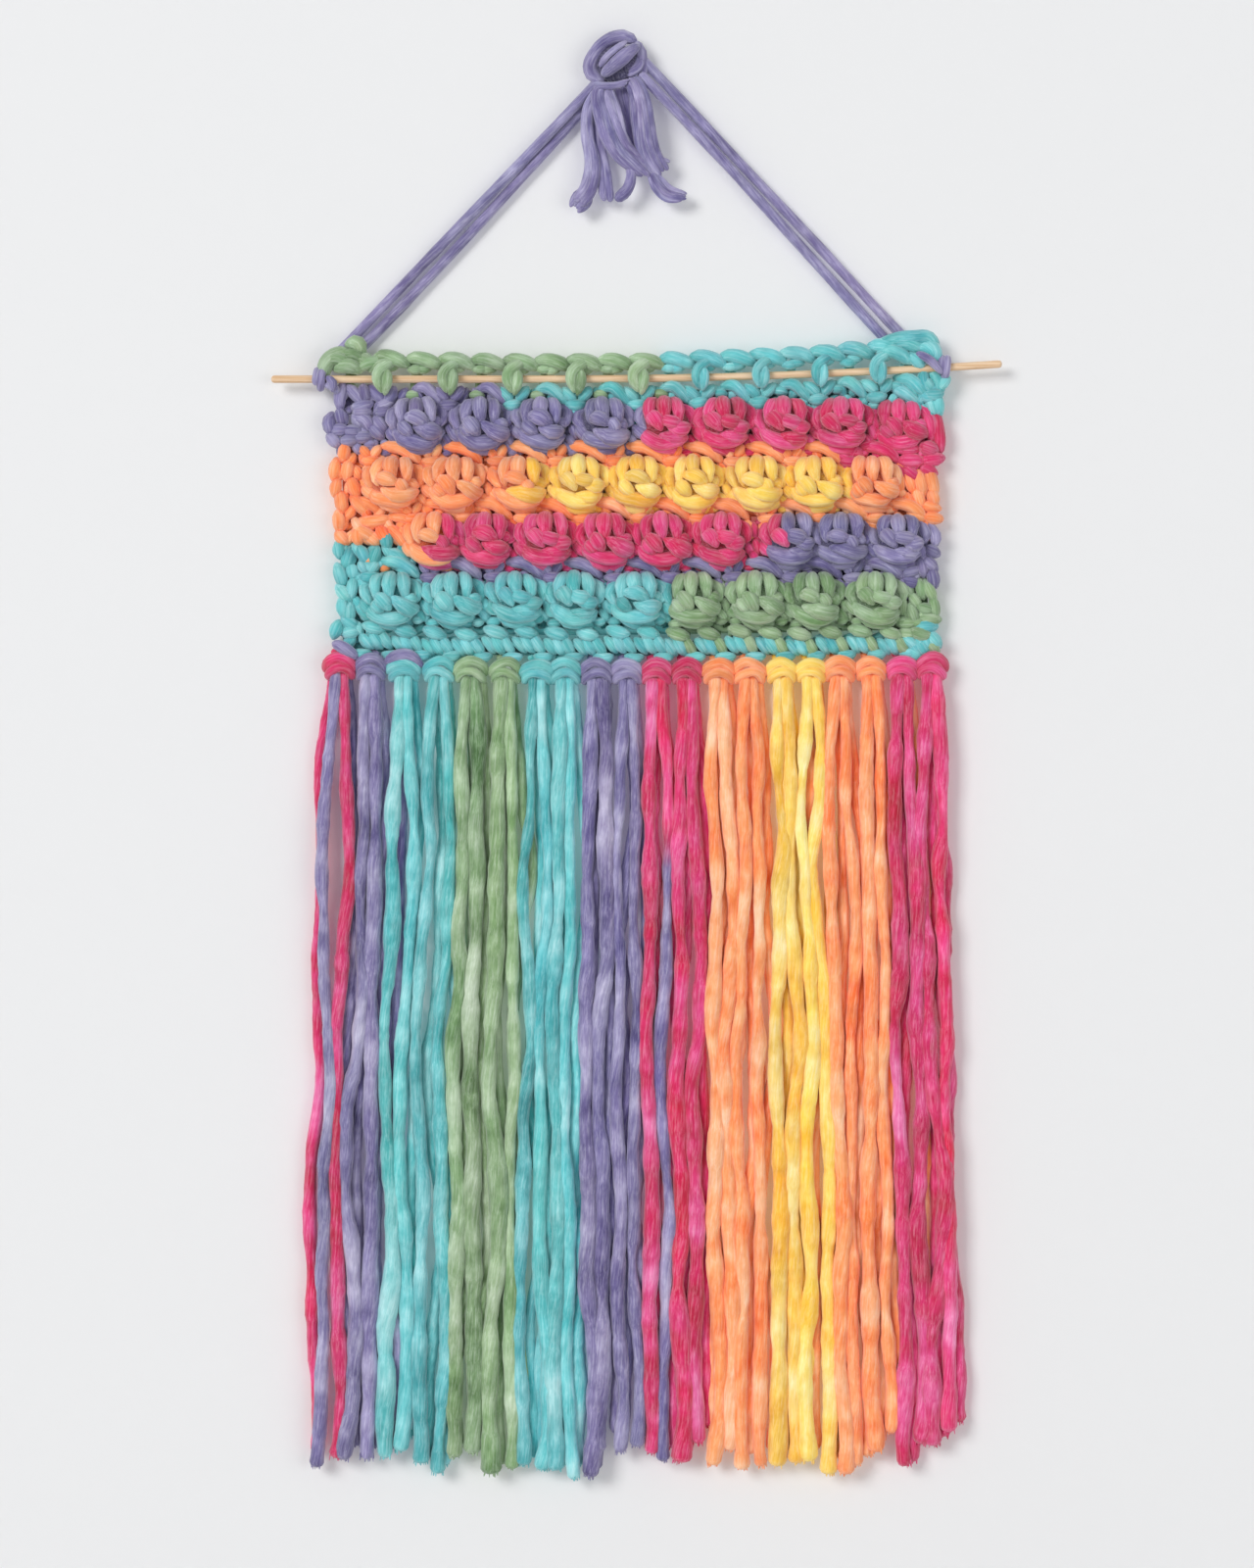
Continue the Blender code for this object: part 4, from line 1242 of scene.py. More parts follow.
CORNER_YARNS = (
    EdgeYarn(Dye.GREEN, 2.7, ((-123.4, -120.1), (-122.2, -114.4), (-117.7, -110.3), (-112.8, -109.5))),
    EdgeYarn(Dye.GREEN, 2.5, ((-121.8, -113.6), (-118.1, -112.0), (-112.8, -114.0))),
    EdgeYarn(Dye.GREEN, 2.5, ((-117.7, -116.5), (-112.8, -115.2), (-108.7, -116.9))),
    EdgeYarn(Dye.GREEN, 2.5, ((-112.4, -106.2), (-108.7, -105.8), (-107.1, -109.5))),
    EdgeYarn(Dye.GREEN, 2.2, ((-115.2, -111.1), (-110.3, -110.3), (-106.6, -113.2))),
    EdgeYarn(Dye.GREEN, 2.0, ((-108.7, -116.0), (-103.8, -113.6), (-98.9, -113.2))),
    EdgeYarn(Dye.GREEN, 2.2, ((-103.0, -116.5), (-98.1, -114.8), (-94.0, -113.2))),
    EdgeYarn(Dye.TEAL, 2.5,
             ((105.4, -108.3), (112.8, -104.6), (121.8, -103.4), (129.1, -103.8), (132.0, -108.7))),
    EdgeYarn(Dye.TEAL, 2.2, ((108.7, -108.7), (114.8, -109.3), (121.4, -113.2))),
    EdgeYarn(Dye.TEAL, 2.5, ((113.6, -106.6), (120.9, -105.8), (127.1, -108.7))),
    EdgeYarn(Dye.TEAL, 2.2, ((125.8, -105.4), (131.2, -107.9), (132.0, -114.4))),
    EdgeYarn(Dye.TEAL, 2.0, ((121.8, -111.1), (125.8, -114.4))),
    EdgeYarn(Dye.TEAL, 2.2, ((124.2, -107.5), (128.7, -108.3), (130.8, -112.0))),
)


@dataclass
class Edges:
    """The stitches down both side edges and round the upper corners."""

    finish: YarnFinish
    left_radius: float = 2.1
    plump: float = 1.2

    def build(self) -> list[bpy.types.Object]:
        """Build one piece for each.

        Returns:
            The finished pieces.
        """
        left = tuple(EdgeYarn(dye_at(*points[len(points) // 2]), self.left_radius, points)
                     for points in LEFT_CORNER_YARNS)
        return [self._edge("left_edge", 41, left, 7.4), self._edge("right_edge", 42, RIGHT_YARNS, 7.6),
                self._edge("chain_corners", 43, CORNER_YARNS, 10.0)]

    def _edge(self, name: str, seed: int, yarns: tuple[EdgeYarn, ...], depth: float) -> bpy.types.Object:
        """Lay the yarns of one edge.

        Args:
            name: the piece's name.
            seed: fixes the small irregularities.
            yarns: its yarns.
            depth: how far in front of the wall they lie, in mm.

        Returns:
            The finished piece.
        """
        skein = Skein(name, seed)
        for yarn in yarns:
            skein.arc(yarn.route, yarn.radius * self.plump, yarn.dye,
                      depth=depth + skein.chance.uniform(-0.5, 0.5), jitter=0.2, tuck=2.0)
        return skein.finish(self.finish)


@dataclass
class Ground:
    """The thin body of the panel behind its raised stitches, coloured in the painted shade of each row's dye,
    with the open places between them.
    """

    finish: YarnFinish
    columns: int = 116
    rows: int = 52
    left: float = -115.5
    right: float = 129.0
    front: float = -4.0
    thickness: float = 1.4
    ripple: float = 0.5
    ripple_pitch: Point = (6.3, 6.1)
    base_hole: Point = (2.4, 2.3)
    row_hole: Point = (1.6, 2.8)
    slots: tuple[tuple[Point, Point], ...] = (((-112.8, -136.0), (1.6, 4.6)), ((-102.3, -136.4), (2.2, 3.2)))

    def build(self, dowel: bpy.types.Object, pieces: list[bpy.types.Object]) -> bpy.types.Object:
        """Args:
            dowel: the stick that it hangs on; not used.
            pieces: the yarns laid on it; not used.

        Returns:
            The finished piece.
        """
        bm = bmesh.new()
        bmesh.ops.create_grid(bm, x_segments=self.columns, y_segments=self.rows, size=1.0)
        dye_and_shade_layer = bm.verts.layers.float_color.new("dye")
        yarn_layer = bm.verts.layers.float_vector.new("yarn")
        for vert in bm.verts:
            x = self.left + (self.right - self.left) * (vert.co.x + 1.0) / 2.0
            high, low = dowel_z(x) - 4.6, bottom_z(x) + 2.0
            z = low + (high - low) * (vert.co.y + 1.0) / 2.0
            across, down = (math.cos(at * math.tau / pitch) for at, pitch in zip((x, z), self.ripple_pitch))
            # The body's colour is painted shade: each row's dye darkened as between the stitches.
            vert[dye_and_shade_layer] = (*dye_at(x, z).shadow(), 1.0)
            vert[yarn_layer] = (x, 0.0, z)
            vert.co = Vector((x, self.front + self.ripple * across * down, z)) * MM
        middles = [(face, face.calc_center_median() / MM) for face in bm.faces]
        gone = [face for face, middle in middles if self.is_open(middle.x, middle.z)]
        bmesh.ops.delete(bm, geom=gone, context="FACES")
        bmesh.ops.recalc_face_normals(bm, faces=bm.faces)
        if bm.faces[0].normal.y > 0:
            bmesh.ops.reverse_faces(bm, faces=bm.faces)
        bmesh.ops.solidify(bm, geom=bm.faces, thickness=self.thickness * MM)
        mesh = bpy.data.meshes.new("crochet_ground")
        bm.to_mesh(mesh)
        bm.free()
        mesh.shade_smooth()
        mesh.materials.append(self.finish.material())
        ground = place("crochet_ground", mesh, "crochet_panel")
        return ground

    def is_open(self, x: float, z: float, margin: float = 0.0) -> bool:
        """Tell whether the fabric is open at one place.

        Args:
            x: the place along the panel in mm.
            z: its height in mm.
            margin: how far round the opening counts too, in mm.

        Returns:
            True where there is a hole.
        """
        number = round((x - BASE_FIRST_X) / BASE_PITCH - 0.5)
        gap = BASE_FIRST_X + BASE_PITCH * (number + 0.5)
        wide, high = (half + margin for half in self.base_hole)
        if abs(x - gap) < wide and abs(z - BASE_Z + 0.6) < high and 0 <= number < BASE_STITCHES:
            return True
        wide, high = (half + margin for half in self.row_hole)
        for row, places in BOBBLE_ROWS[1:]:
            middles = [(a + b) / 2 for a, b in zip(places, places[1:])]
            if any(abs(x - middle) < wide and abs(z - row - 7.4) < high for middle in middles):
                return True
        return any(abs(x - at[0]) < half[0] and abs(z - at[1]) < half[1] for at, half in self.slots)


@dataclass
class UnderStitches:
    """The stitches that fill the places between the raised ones on the front."""

    finish: YarnFinish
    top: float = -127.0
    courses: int = 20
    pitch: float = 5.4
    spacing: float = 6.3
    columns: int = 40
    left: float = -115.6
    right: float = 130.0
    cover: Point = (9.0, 7.5)
    margin: float = 1.6
    lean: float = 1.7
    shade: float = 0.12

    def build(self, ground: Ground) -> bpy.types.Object:
        """Lay slanting stitches wherever no bobble covers them.

        Args:
            ground: the body, which knows its open places.

        Returns:
            The finished piece.
        """
        skein = Skein("under_stitches", 52)
        for course in range(self.courses):
            for number in range(self.columns):
                x = self.left + self.spacing * (number + 0.5 * (course % 2))
                lift = max(0.0, dowel_z(x) - DOWEL_LOW)
                z = self.top - self.pitch * course + lift * (1.0 - course / self.courses)
                if x > self.right or z > dowel_z(x) - 6.0:
                    continue
                if self._covered(x, z) or ground.is_open(x, z, self.margin):
                    continue
                lean = self.lean if number % 2 else -self.lean
                skein.arc([(x - lean, z + 2.6), (x + lean, z - 2.6)], 2.2, dye_at(x, z), depth=6.0, dive=1.2,
                          sides=6, spacing=2.4, tone=self.shade)
        return skein.finish(self.finish)

    def _covered(self, x: float, z: float) -> bool:
        """Tell whether a bobble hides one place.

        Args:
            x: the place along the panel in mm.
            z: its height in mm.

        Returns:
            True behind a bobble.
        """
        wide, high = self.cover
        return any(abs(z - row) < high and any(abs(x - middle) < wide for middle in places)
                   for row, places in BOBBLE_ROWS)


@dataclass
class BackStitches:
    """The flatter rows of loops that show on the back."""

    finish: YarnFinish
    courses: int = 18
    top: float = -126.5
    pitch: float = 6.1
    left: float = -117.0
    right: float = 131.0
    reach: float = 5.0

    def build(self) -> bpy.types.Object:
        """Lay the loops course by course.

        Returns:
            The finished piece.
        """
        skein = Skein("back_stitches", 51)
        for course in range(self.courses):
            z = self.top - self.pitch * course
            for stitch in range(POSTS):
                x = stitch_x(stitch) + (3.2 if course % 2 else -1.6)
                if x - self.reach <= self.left or x + self.reach > self.right:
                    continue
                middle = z + max(0.0, dowel_z(x) - DOWEL_LOW) * 0.6
                rise = 1.3 if course % 2 else -1.3
                points = [(x - 5.6, -4.0, middle - rise), (x - 1.8, -2.4, middle + rise * 0.6),
                          (x + 2.2, -2.4, middle + rise * 0.6), (x + 5.8, -4.0, middle - rise)]
                skein.lay(points, 2.1, dye_at(x, z), sides=7, spacing=2.6)
        return skein.finish(self.finish)


@dataclass(frozen=True)
class FringeKnot:
    """One lark's head: its place, the lower ends of its left and right yarns in mm, and its dyes."""

    x: float
    left: float
    right: float
    dye: Dye
    others: tuple[tuple[int, YarnDye], ...] = ()
    wraps: tuple[EdgeYarn, ...] = ()


# The lark's heads from left to right.
FRINGE = (
    FringeKnot(-116.5, -574.1, -570.4, Dye.MAGENTA, ((0, Dye.PURPLE), (3, Dye.PURPLE)),
               (EdgeYarn(Dye.PURPLE, 2.3, ((-118.6, -230.6), (-114.6, -232.6), (-109.4, -236.4))),)),
    FringeKnot(-103.8, -570.8, -570.8, Dye.PURPLE),
    FringeKnot(-89.9, -570.0, -567.5, Dye.TEAL, ((1, Dye.PURPLE),),
               (EdgeYarn(Dye.PURPLE, 2.3,
                         ((-97.2, -238.4), (-93.4, -236.2), (-87.2, -235.6), (-82.4, -239.8))),)),
    FringeKnot(-75.2, -572.4, -576.9, Dye.TEAL),
    FringeKnot(-62.1, -570.0, -568.4, Dye.GREEN),
    FringeKnot(-47.4, -576.9, -574.9, Dye.GREEN),
    FringeKnot(-34.3, -573.3, -575.3, Dye.TEAL),
    FringeKnot(-22.5, -575.3, -579.0, Dye.TEAL),
    FringeKnot(-9.4, -578.2, -567.9, Dye.PURPLE),
    FringeKnot(3.3, -567.9, -565.5, Dye.PURPLE),
    FringeKnot(15.5, -568.4, -571.6, Dye.MAGENTA, ((2, (Dye.MAGENTA, Dye.PURPLE, 0.2)),)),
    FringeKnot(28.2, -572.0, -564.3, Dye.MAGENTA),
    FringeKnot(41.7, -573.3, -567.1, Dye.ORANGE),
    FringeKnot(54.3, -574.9, -573.7, Dye.ORANGE),
    FringeKnot(67.8, -573.7, -572.4, Dye.YELLOW),
    FringeKnot(80.1, -571.6, -576.9, Dye.YELLOW, ((1, Dye.ORANGE),)),
    FringeKnot(91.9, -576.9, -573.7, Dye.ORANGE),
    FringeKnot(105.0, -567.9, -559.8, Dye.ORANGE),
    FringeKnot(118.1, -573.7, -564.7, Dye.MAGENTA, ((3, Dye.ORANGE),)),
    FringeKnot(130.3, -565.1, -559.4, Dye.MAGENTA),
)


@dataclass
class Fringe:
    """The lark's heads along the bottom edge and their long strands.

    Args:
        finish: the yarn's finish.
        fan_middle: the place that the strands spread out from, in mm.
        fan: how much wider the fringe is at its tips than at the knots, as a factor.
        front_radius: half the thickness of the strands in front, in mm.
        back_radius: half the thickness of those behind, in mm.
        wander: how far a strand strays to the side in its long waves, in mm.
        wander_length: the length of those waves in mm.
        kink: how far it strays in its short waves, in mm.
        kink_length: the length of those waves in mm.
        control_spacing: distance between a strand's control points, in mm.
        rearmost: how near to the wall a strand's middle line may come, as a y in mm.
        wisps: loose wisps at a cut end.
    """

    finish: YarnFinish
    fan_middle: float = 6.9
    fan: float = 1.045
    front_radius: float = 3.4
    back_radius: float = 3.1
    wander: float = 2.8
    wander_length: float = 72.0
    kink: float = 0.7
    kink_length: float = 24.0
    control_spacing: float = 9.0
    rearmost: float = -4.2
    wisps: int = 10

    def build(self) -> list[bpy.types.Object]:
        """Build one piece for each knot.

        Returns:
            The finished pieces.
        """
        return [self._knot(number, knot) for number, knot in enumerate(FRINGE)]

    def _knot(self, number: int, knot: FringeKnot) -> bpy.types.Object:
        """Build one lark's head with its strands.

        Args:
            number: the knot, counted from the left.
            knot: the knot.

        Returns:
            The finished piece.
        """
        skein = Skein(f"fringe_yarn_{number + 1:02d}", 100 + number)
        edge = bottom_z(knot.x) - 3.4
        x, dye = knot.x, knot.dye
        tilt = skein.chance.uniform(-0.5, 0.5)
        wide, lift = skein.chance.uniform(0.86, 1.03), skein.chance.uniform(-0.7, 0.9)
        lean = skein.chance.uniform(-0.7, 0.7)
        band = 2.3 * skein.chance.uniform(0.9, 1.12)
        skein.lay([(x - 6.2 * wide, -4.4, edge - 3.4), (x - 4.7 * wide, -8.6, edge - tilt + lift * 0.6),
                   (x + lean, -10.6, edge + 2.0 + lift), (x + 4.7 * wide, -8.6, edge + tilt + lift * 0.6),
                   (x + 6.2 * wide, -4.4, edge - 3.4)], band, dye, sides=11, spacing=1.5)
        skein.lay([(x - 5.4 * wide, -4.8, edge - 6.0), (x - 3.8 * wide, -9.0, edge - 3.0 + tilt),
                   (x + 0.2 - lean, -10.7, edge - 1.8 + lift * 0.4), (x + 4.0 * wide, -9.0, edge - 3.2 - tilt),
                   (x + 5.6 * wide, -4.8, edge - 6.0)], band * 0.86, dye, sides=11, spacing=1.5)
        skein.lay([(x - 4.0, -3.4, edge + 4.2), (x, -2.6, edge + 5.0), (x + 4.0, -3.4, edge + 4.2)], 2.0, dye)
        for wrap in knot.wraps:
            skein.arc(wrap.route, wrap.radius, wrap.dye, depth=11.4, dive=4.0)
        others = dict(knot.others)
        outer = number == 0
        gap = (FRINGE[number + 1].x - x) / 2 if number + 1 < len(FRINGE) else 3.6
        strands = (
            (-3.2, -8.8, knot.left, self.front_radius),
            (-6.6 if outer else skein.chance.uniform(-1.4, 0.4), -4.2 if outer else -3.8,
             knot.left + skein.chance.uniform(1.0, 6.0), self.back_radius),
            (3.2, -8.2, knot.right, self.front_radius),
            (gap, -3.8, knot.right + skein.chance.uniform(2.0, 7.0), self.back_radius),
        )
        for strand, (offset, y, tip, radius) in enumerate(strands):
            self._strand(skein, knot, others.get(strand, dye), (offset, y), edge - 3.4, tip, radius)
        piece = skein.finish(self.finish, f"fringe_{number + 1:02d}")
        return piece

    def _strand(self, skein: Skein, knot: FringeKnot, dye: YarnDye, offset: Point, top: float,
                tip: float, radius: float) -> None:
        """Let one strand hang, wandering a little on its way down.

        Args:
            skein: what it is laid into.
            knot: the lark's head that it hangs from.
            dye: its dye, or two dyes and the share where the first turns into the second.
            offset: its distance from the knot's middle and its depth, in mm.
            top: the height where it starts, in mm.
            tip: the height of its cut end, in mm.
            radius: half its thickness in mm.
        """
        phase = skein.chance.uniform(0.0, 900.0)
        steps = max(4, round((top - tip) / self.control_spacing))
        points = []
        for step in range(steps + 1):
            share = step / steps
            z = top + (tip - top) * share
            start = knot.x + offset[0] * (0.44 + 0.56 * min(1.0, share * 9.0))
            x = start + (start - self.fan_middle) * (self.fan - 1.0) * share
            loose = min(1.0, share * 5.0)
            x += loose * self.wander * 2.0 * noise.noise(Vector((phase, z / self.wander_length, 0.0)))
            x += loose * self.kink * 2.0 * noise.noise(Vector((phase, z / self.kink_length, 3.0)))
            x += loose * 1.4 * noise.noise(Vector((z / 120.0, knot.x / 160.0, 5.0)))
            sway = loose * 1.6 * noise.noise(Vector((phase, z / 60.0, 9.0)))
            points.append((x, min(self.rearmost, offset[1] + sway + (0.6 if step == 0 else 0.0)), z))
        full = radius * skein.chance.uniform(0.84, 1.12)
        skein.lay(points, full, dye, sides=10, spacing=3.1, lumps=0.24, tone=0.13, taper=(0.8, 1.02),
                  point=0.7)
        self._fray(skein, points[-1], full, dye if isinstance(dye, Dye) else dye[1])

    def _fray(self, skein: Skein, tip: Point, radius: float, dye: Dye) -> None:
        """Let a few loose wisps stand out of a cut end.

        Args:
            skein: what it is laid into.
            tip: the middle of the cut end in mm.
            radius: half the strand's thickness in mm.
            dye: its dye.
        """
        for _ in range(self.wisps):
            angle = skein.chance.uniform(0.0, math.tau)
            reach = radius * skein.chance.uniform(0.1, 0.8)
            x, y = tip[0] + reach * math.cos(angle), min(-1.0, tip[1] + reach * math.sin(angle))
            drop = skein.chance.uniform(-0.2, 1.3)
            spread = skein.chance.uniform(-0.2, 0.9)
            skein.lay([(x, y, tip[2] + 3.0), (x + spread * 0.4 * math.cos(angle), y, tip[2] + 1.2),
                       (x + spread * math.cos(angle), y, tip[2] - drop)], skein.chance.uniform(0.35, 0.8), dye,
                      sides=5, spacing=1.8, taper=(1.0, 0.3))


@dataclass(frozen=True)
class HangerYarn:
    """One taut yarn of the hanger and its route in mm."""

    node: str
    route: tuple[Point, ...]


# The taut yarns, each one from the dowel or the top chain up into the big knot.
HANGERS = (
    HangerYarn("hanger_left_outer", (
        (-124.3, -3.2, -115.7), (-117.6, -2.3, -109.2), (-104.0, -2.6, -95.0), (-70.0, -3.6, -59.5),
        (-36.0, -5.0, -24.5), (-12.6, -6.7, -0.2), (-8.6, -7.0, 4.2))),
    HangerYarn("hanger_left_inner", (
        (-112.2, -2.4, -110.2), (-109.0, -2.4, -107.6), (-100.0, -2.4, -99.0), (-66.0, -2.5, -63.0),
        (-33.0, -2.7, -27.0), (-10.4, -3.0, -2.2), (-5.0, -4.4, 4.6))),
    HangerYarn("hanger_right_outer", (
        (135.2, -3.0, -110.6), (126.8, -2.2, -107.0), (119.2, -2.3, -102.4), (84.0, -3.2, -65.0),
        (50.0, -4.2, -29.2), (14.8, -5.8, 7.9), (9.0, -6.4, 13.6))),
    HangerYarn("hanger_right_inner", (
        (115.0, -2.4, -107.0), (111.5, -2.4, -103.4), (78.0, -3.8, -66.8), (46.0, -5.4, -31.8),
        (14.2, -7.4, 1.4), (8.2, -7.8, 7.2))),
)


@dataclass
class Hanger:
    """The four taut yarns from the dowel and the top chain up into the big knot."""

    finish: YarnFinish
    radius: float = 2.15

    def build(self) -> list[bpy.types.Object]:
        """Build each yarn.

        Returns:
            The finished pieces.
        """
        pieces = []
        for number, yarn in enumerate(HANGERS):
            skein = Skein(f"{yarn.node}_yarn", 61 + number)
            skein.lay(yarn.route, self.radius, Dye.PURPLE, sides=12, spacing=2.2, lumps=0.05, tone=0.05)
            piece = skein.finish(self.finish, yarn.node)
            line = Route(yarn.route)
            [list(point * MM) for point in line.even(4.0)]
            pieces.append(piece)
        return pieces


@dataclass
class Ties:
    """The yarn wrapped round both ends of the dowel."""

    finish: YarnFinish
    turns: float = 1.6
    radius: float = 1.7
    steps: int = 9
    extras: tuple[tuple[Point, ...], ...] = (
        ((-123.6, -9.4, -122.8), (-119.6, -10.0, -123.6), (-116.6, -9.0, -126.8)),
        ((-122.0, -10.6, -119.6), (-119.0, -11.6, -122.6), (-119.6, -10.6, -126.2)),
        ((123.6, -11.8, -109.8), (128.6, -13.0, -112.6), (132.8, -12.4, -116.4), (134.6, -10.6, -118.4)),
    )

    def build(self) -> list[bpy.types.Object]:
        """Build both wraps.

        Returns:
            The finished pieces.
        """
        return [self._wrap("tie_left", -124.7, 71), self._wrap("tie_right", 135.6, 72)]

    def _wrap(self, node: str, x: float, seed: int) -> bpy.types.Object:
        """Wind one wrap round the dowel.

        Args:
            node: the plain solid that it stands for.
            x: its place along the dowel in mm.
            seed: fixes the small irregularities.

        Returns:
            The finished piece.
        """
        skein = Skein(f"{node}_yarn", seed)
        reach = DOWEL_RADIUS + 0.3 + self.radius
        points = []
        for step in range(self.steps + 1):
            share = step / self.steps
            angle = math.tau * self.turns * share - 0.9
            along = x + 3.4 * (share - 0.5)
            points.append((along, DOWEL_Y - reach * math.cos(angle), dowel_z(along) + reach * math.sin(angle)))
        skein.lay(points, self.radius, Dye.PURPLE, sides=10, spacing=1.4)
        for extra in self.extras:
            if (extra[0][0] < 0) == (x < 0):
                skein.lay(extra, self.radius, Dye.PURPLE, sides=10, spacing=1.4, point=1.5, taper=(0.8, 0.8),
                          swell=0.3)
        return skein.finish(self.finish, node)


@dataclass(frozen=True)
class KnotYarn:
    """One flat tuft of the big knot: half width, route, taper and number of strands side by side."""

    half_width: float
    route: tuple[Point, ...]
    taper: tuple[float, float] = (1.0, 1.0)
    strands: int = 1
    flat: float = 0.8
    swell: float = 0.0


@dataclass
class HangingKnot:
    """The big knot with its loop and its free tails."""

    finish: YarnFinish
    yarns: tuple[KnotYarn, ...] = (
        KnotYarn(3.3, ((-6.0, -7.4, 3.6), (-10.4, -7.8, 5.4), (-12.2, -8.0, 9.8), (-10.4, -8.2, 14.6),
                       (-7.2, -8.2, 18.8), (-2.4, -8.4, 21.6), (3.4, -8.2, 22.2), (7.4, -7.8, 19.8)),
                 (0.9, 0.85)),
        KnotYarn(3.0, ((6.2, -7.8, 20.8), (9.0, -7.4, 16.0), (9.4, -6.8, 10.0), (10.6, -6.2, 5.0)),
                 (0.8, 1.0)),
        KnotYarn(4.1, ((-7.4, -9.6, 5.6), (-3.4, -11.8, 8.6), (1.6, -12.6, 12.8), (6.2, -11.6, 16.8),
                       (8.6, -9.0, 18.8)), (0.9, 0.6), 1, 0.9),
        KnotYarn(1.7, ((-8.2, -11.6, 9.0), (-5.4, -13.2, 12.8), (-1.0, -13.4, 16.6), (3.4, -12.4, 19.6)),
                 (0.9, 0.7)),
        KnotYarn(2.8, ((9.0, -8.4, 14.0), (7.6, -9.4, 9.4), (2.6, -9.6, 6.2)), (0.9, 0.8), 2),
        KnotYarn(2.2, ((-11.0, -8.0, 2.2), (-6.4, -11.0, 1.4), (-1.0, -11.8, 1.6), (4.0, -10.4, 3.4)),
                 (0.9, 0.6), 2, 0.9),
        KnotYarn(3.0, ((-6.0, -6.6, 3.0), (-10.6, -8.8, -2.6), (-13.2, -9.6, -10.0), (-12.9, -9.0, -20.0),
                       (-11.2, -8.4, -31.0), (-12.6, -8.4, -40.4), (-17.0, -8.6, -47.6)),
                 (0.62, 1.35), 2, 0.8),
        KnotYarn(3.6, ((-13.2, -7.6, -41.8), (-15.4, -8.0, -45.2), (-18.6, -7.6, -49.4)),
                 (0.7, 0.8), 4, 0.6, 0.5),
        KnotYarn(2.9, ((-5.0, -6.6, 2.0), (-9.4, -7.4, -8.0), (-9.2, -7.0, -20.0), (-6.8, -6.6, -32.0),
                       (-4.8, -6.8, -46.6)), (0.8, 1.15), 2, 0.85),
        KnotYarn(5.3, ((-6.4, -8.8, 2.6), (-7.6, -11.2, -3.4), (-5.4, -12.2, -11.4), (-2.4, -12.4, -19.4),
                       (1.4, -11.6, -26.0), (7.4, -10.4, -31.4), (12.0, -9.2, -35.4)),
                 (0.62, 0.62), 3, 0.75, 0.42),
        KnotYarn(2.5, ((-4.6, -10.4, 0.8), (-1.4, -12.2, -7.6), (0.6, -12.6, -15.6), (2.2, -11.8, -24.0)),
                 (0.8, 0.7), 2),
        KnotYarn(2.2, ((3.2, -9.8, -29.6), (5.0, -9.8, -35.6), (3.4, -9.2, -41.6), (-1.6, -8.8, -46.2)),
                 (0.7, 1.25)),
        KnotYarn(5.1, ((3.4, -8.0, 5.0), (6.6, -10.8, 1.6), (8.8, -12.4, -5.4), (10.0, -12.4, -14.4),
                       (11.4, -11.4, -23.4), (14.4, -9.8, -30.4), (17.6, -8.8, -34.4)),
                 (0.62, 0.85), 4, 0.7, 0.24),
        KnotYarn(2.6, ((12.6, -10.0, -24.0), (16.0, -9.4, -29.0), (21.6, -8.6, -30.8)), (0.9, 0.7), 2, 0.7),
        KnotYarn(3.4, ((13.0, -9.0, -33.6), (16.6, -8.8, -39.6), (20.8, -8.4, -43.4), (27.4, -8.0, -44.6)),
                 (0.6, 0.7), 4, 0.6, 0.5),
        KnotYarn(4.2, ((1.4, -6.0, 2.0), (3.4, -5.4, -6.0), (5.4, -5.0, -15.0), (7.6, -5.0, -24.0),
                       (9.4, -5.4, -31.0)), (1.0, 0.55), 3, 0.7),
    )
    gather: float = 0.62

    def build(self) -> bpy.types.Object:
        """Lay the knot's yarns over its tight middle.

        Returns:
            The finished piece.
        """
        skein = Skein("hanging_knot_yarn", 81)
        # The knot's tight middle is coloured in the painted shade of the purple dye.
        skein.dome((-1.0, -7.0, 11.2), (9.4, 4.6, 8.0), Dye.PURPLE)
        for yarn in self.yarns:
            self._tuft(skein, yarn)
        return skein.finish(self.finish, "hanging_knot")

    def _tuft(self, skein: Skein, yarn: KnotYarn) -> None:
        """Lay one tuft as strands side by side, which end one after the other.

        Args:
            skein: what it is laid into.
            yarn: the tuft.
        """
        knots = [Vector(point) for point in yarn.route]
        last = len(knots) - 1
        radius = yarn.half_width / (1.0 + self.gather * (yarn.strands - 1))
        for strand in range(yarn.strands):
            across = (strand - (yarn.strands - 1) / 2) * 2.0 * radius * self.gather
            points = []
            for number, knot in enumerate(knots):
                share = number / last
                along = knots[min(number + 1, last)] - knots[max(number - 1, 0)]
                side = Vector((along.z, 0.0, -along.x)).normalized()
                width = yarn.taper[0] + (yarn.taper[1] - yarn.taper[0]) * share
                width += yarn.swell * math.sin(math.pi * share)
                reach = 1.2 * skein.chance.uniform(-1.0, 1.0) if number == last and yarn.strands > 1 else 0.0
                bow = Vector((0.0, abs(across) * 0.18, 0.0))
                points.append(knot + side * across * width + along.normalized() * reach + bow)
            skein.lay(points, radius, Dye.PURPLE, sides=12, spacing=1.5, flat=yarn.flat, taper=yarn.taper,
                      lumps=0.14, swell=yarn.swell, tone=0.07, point=2.0)


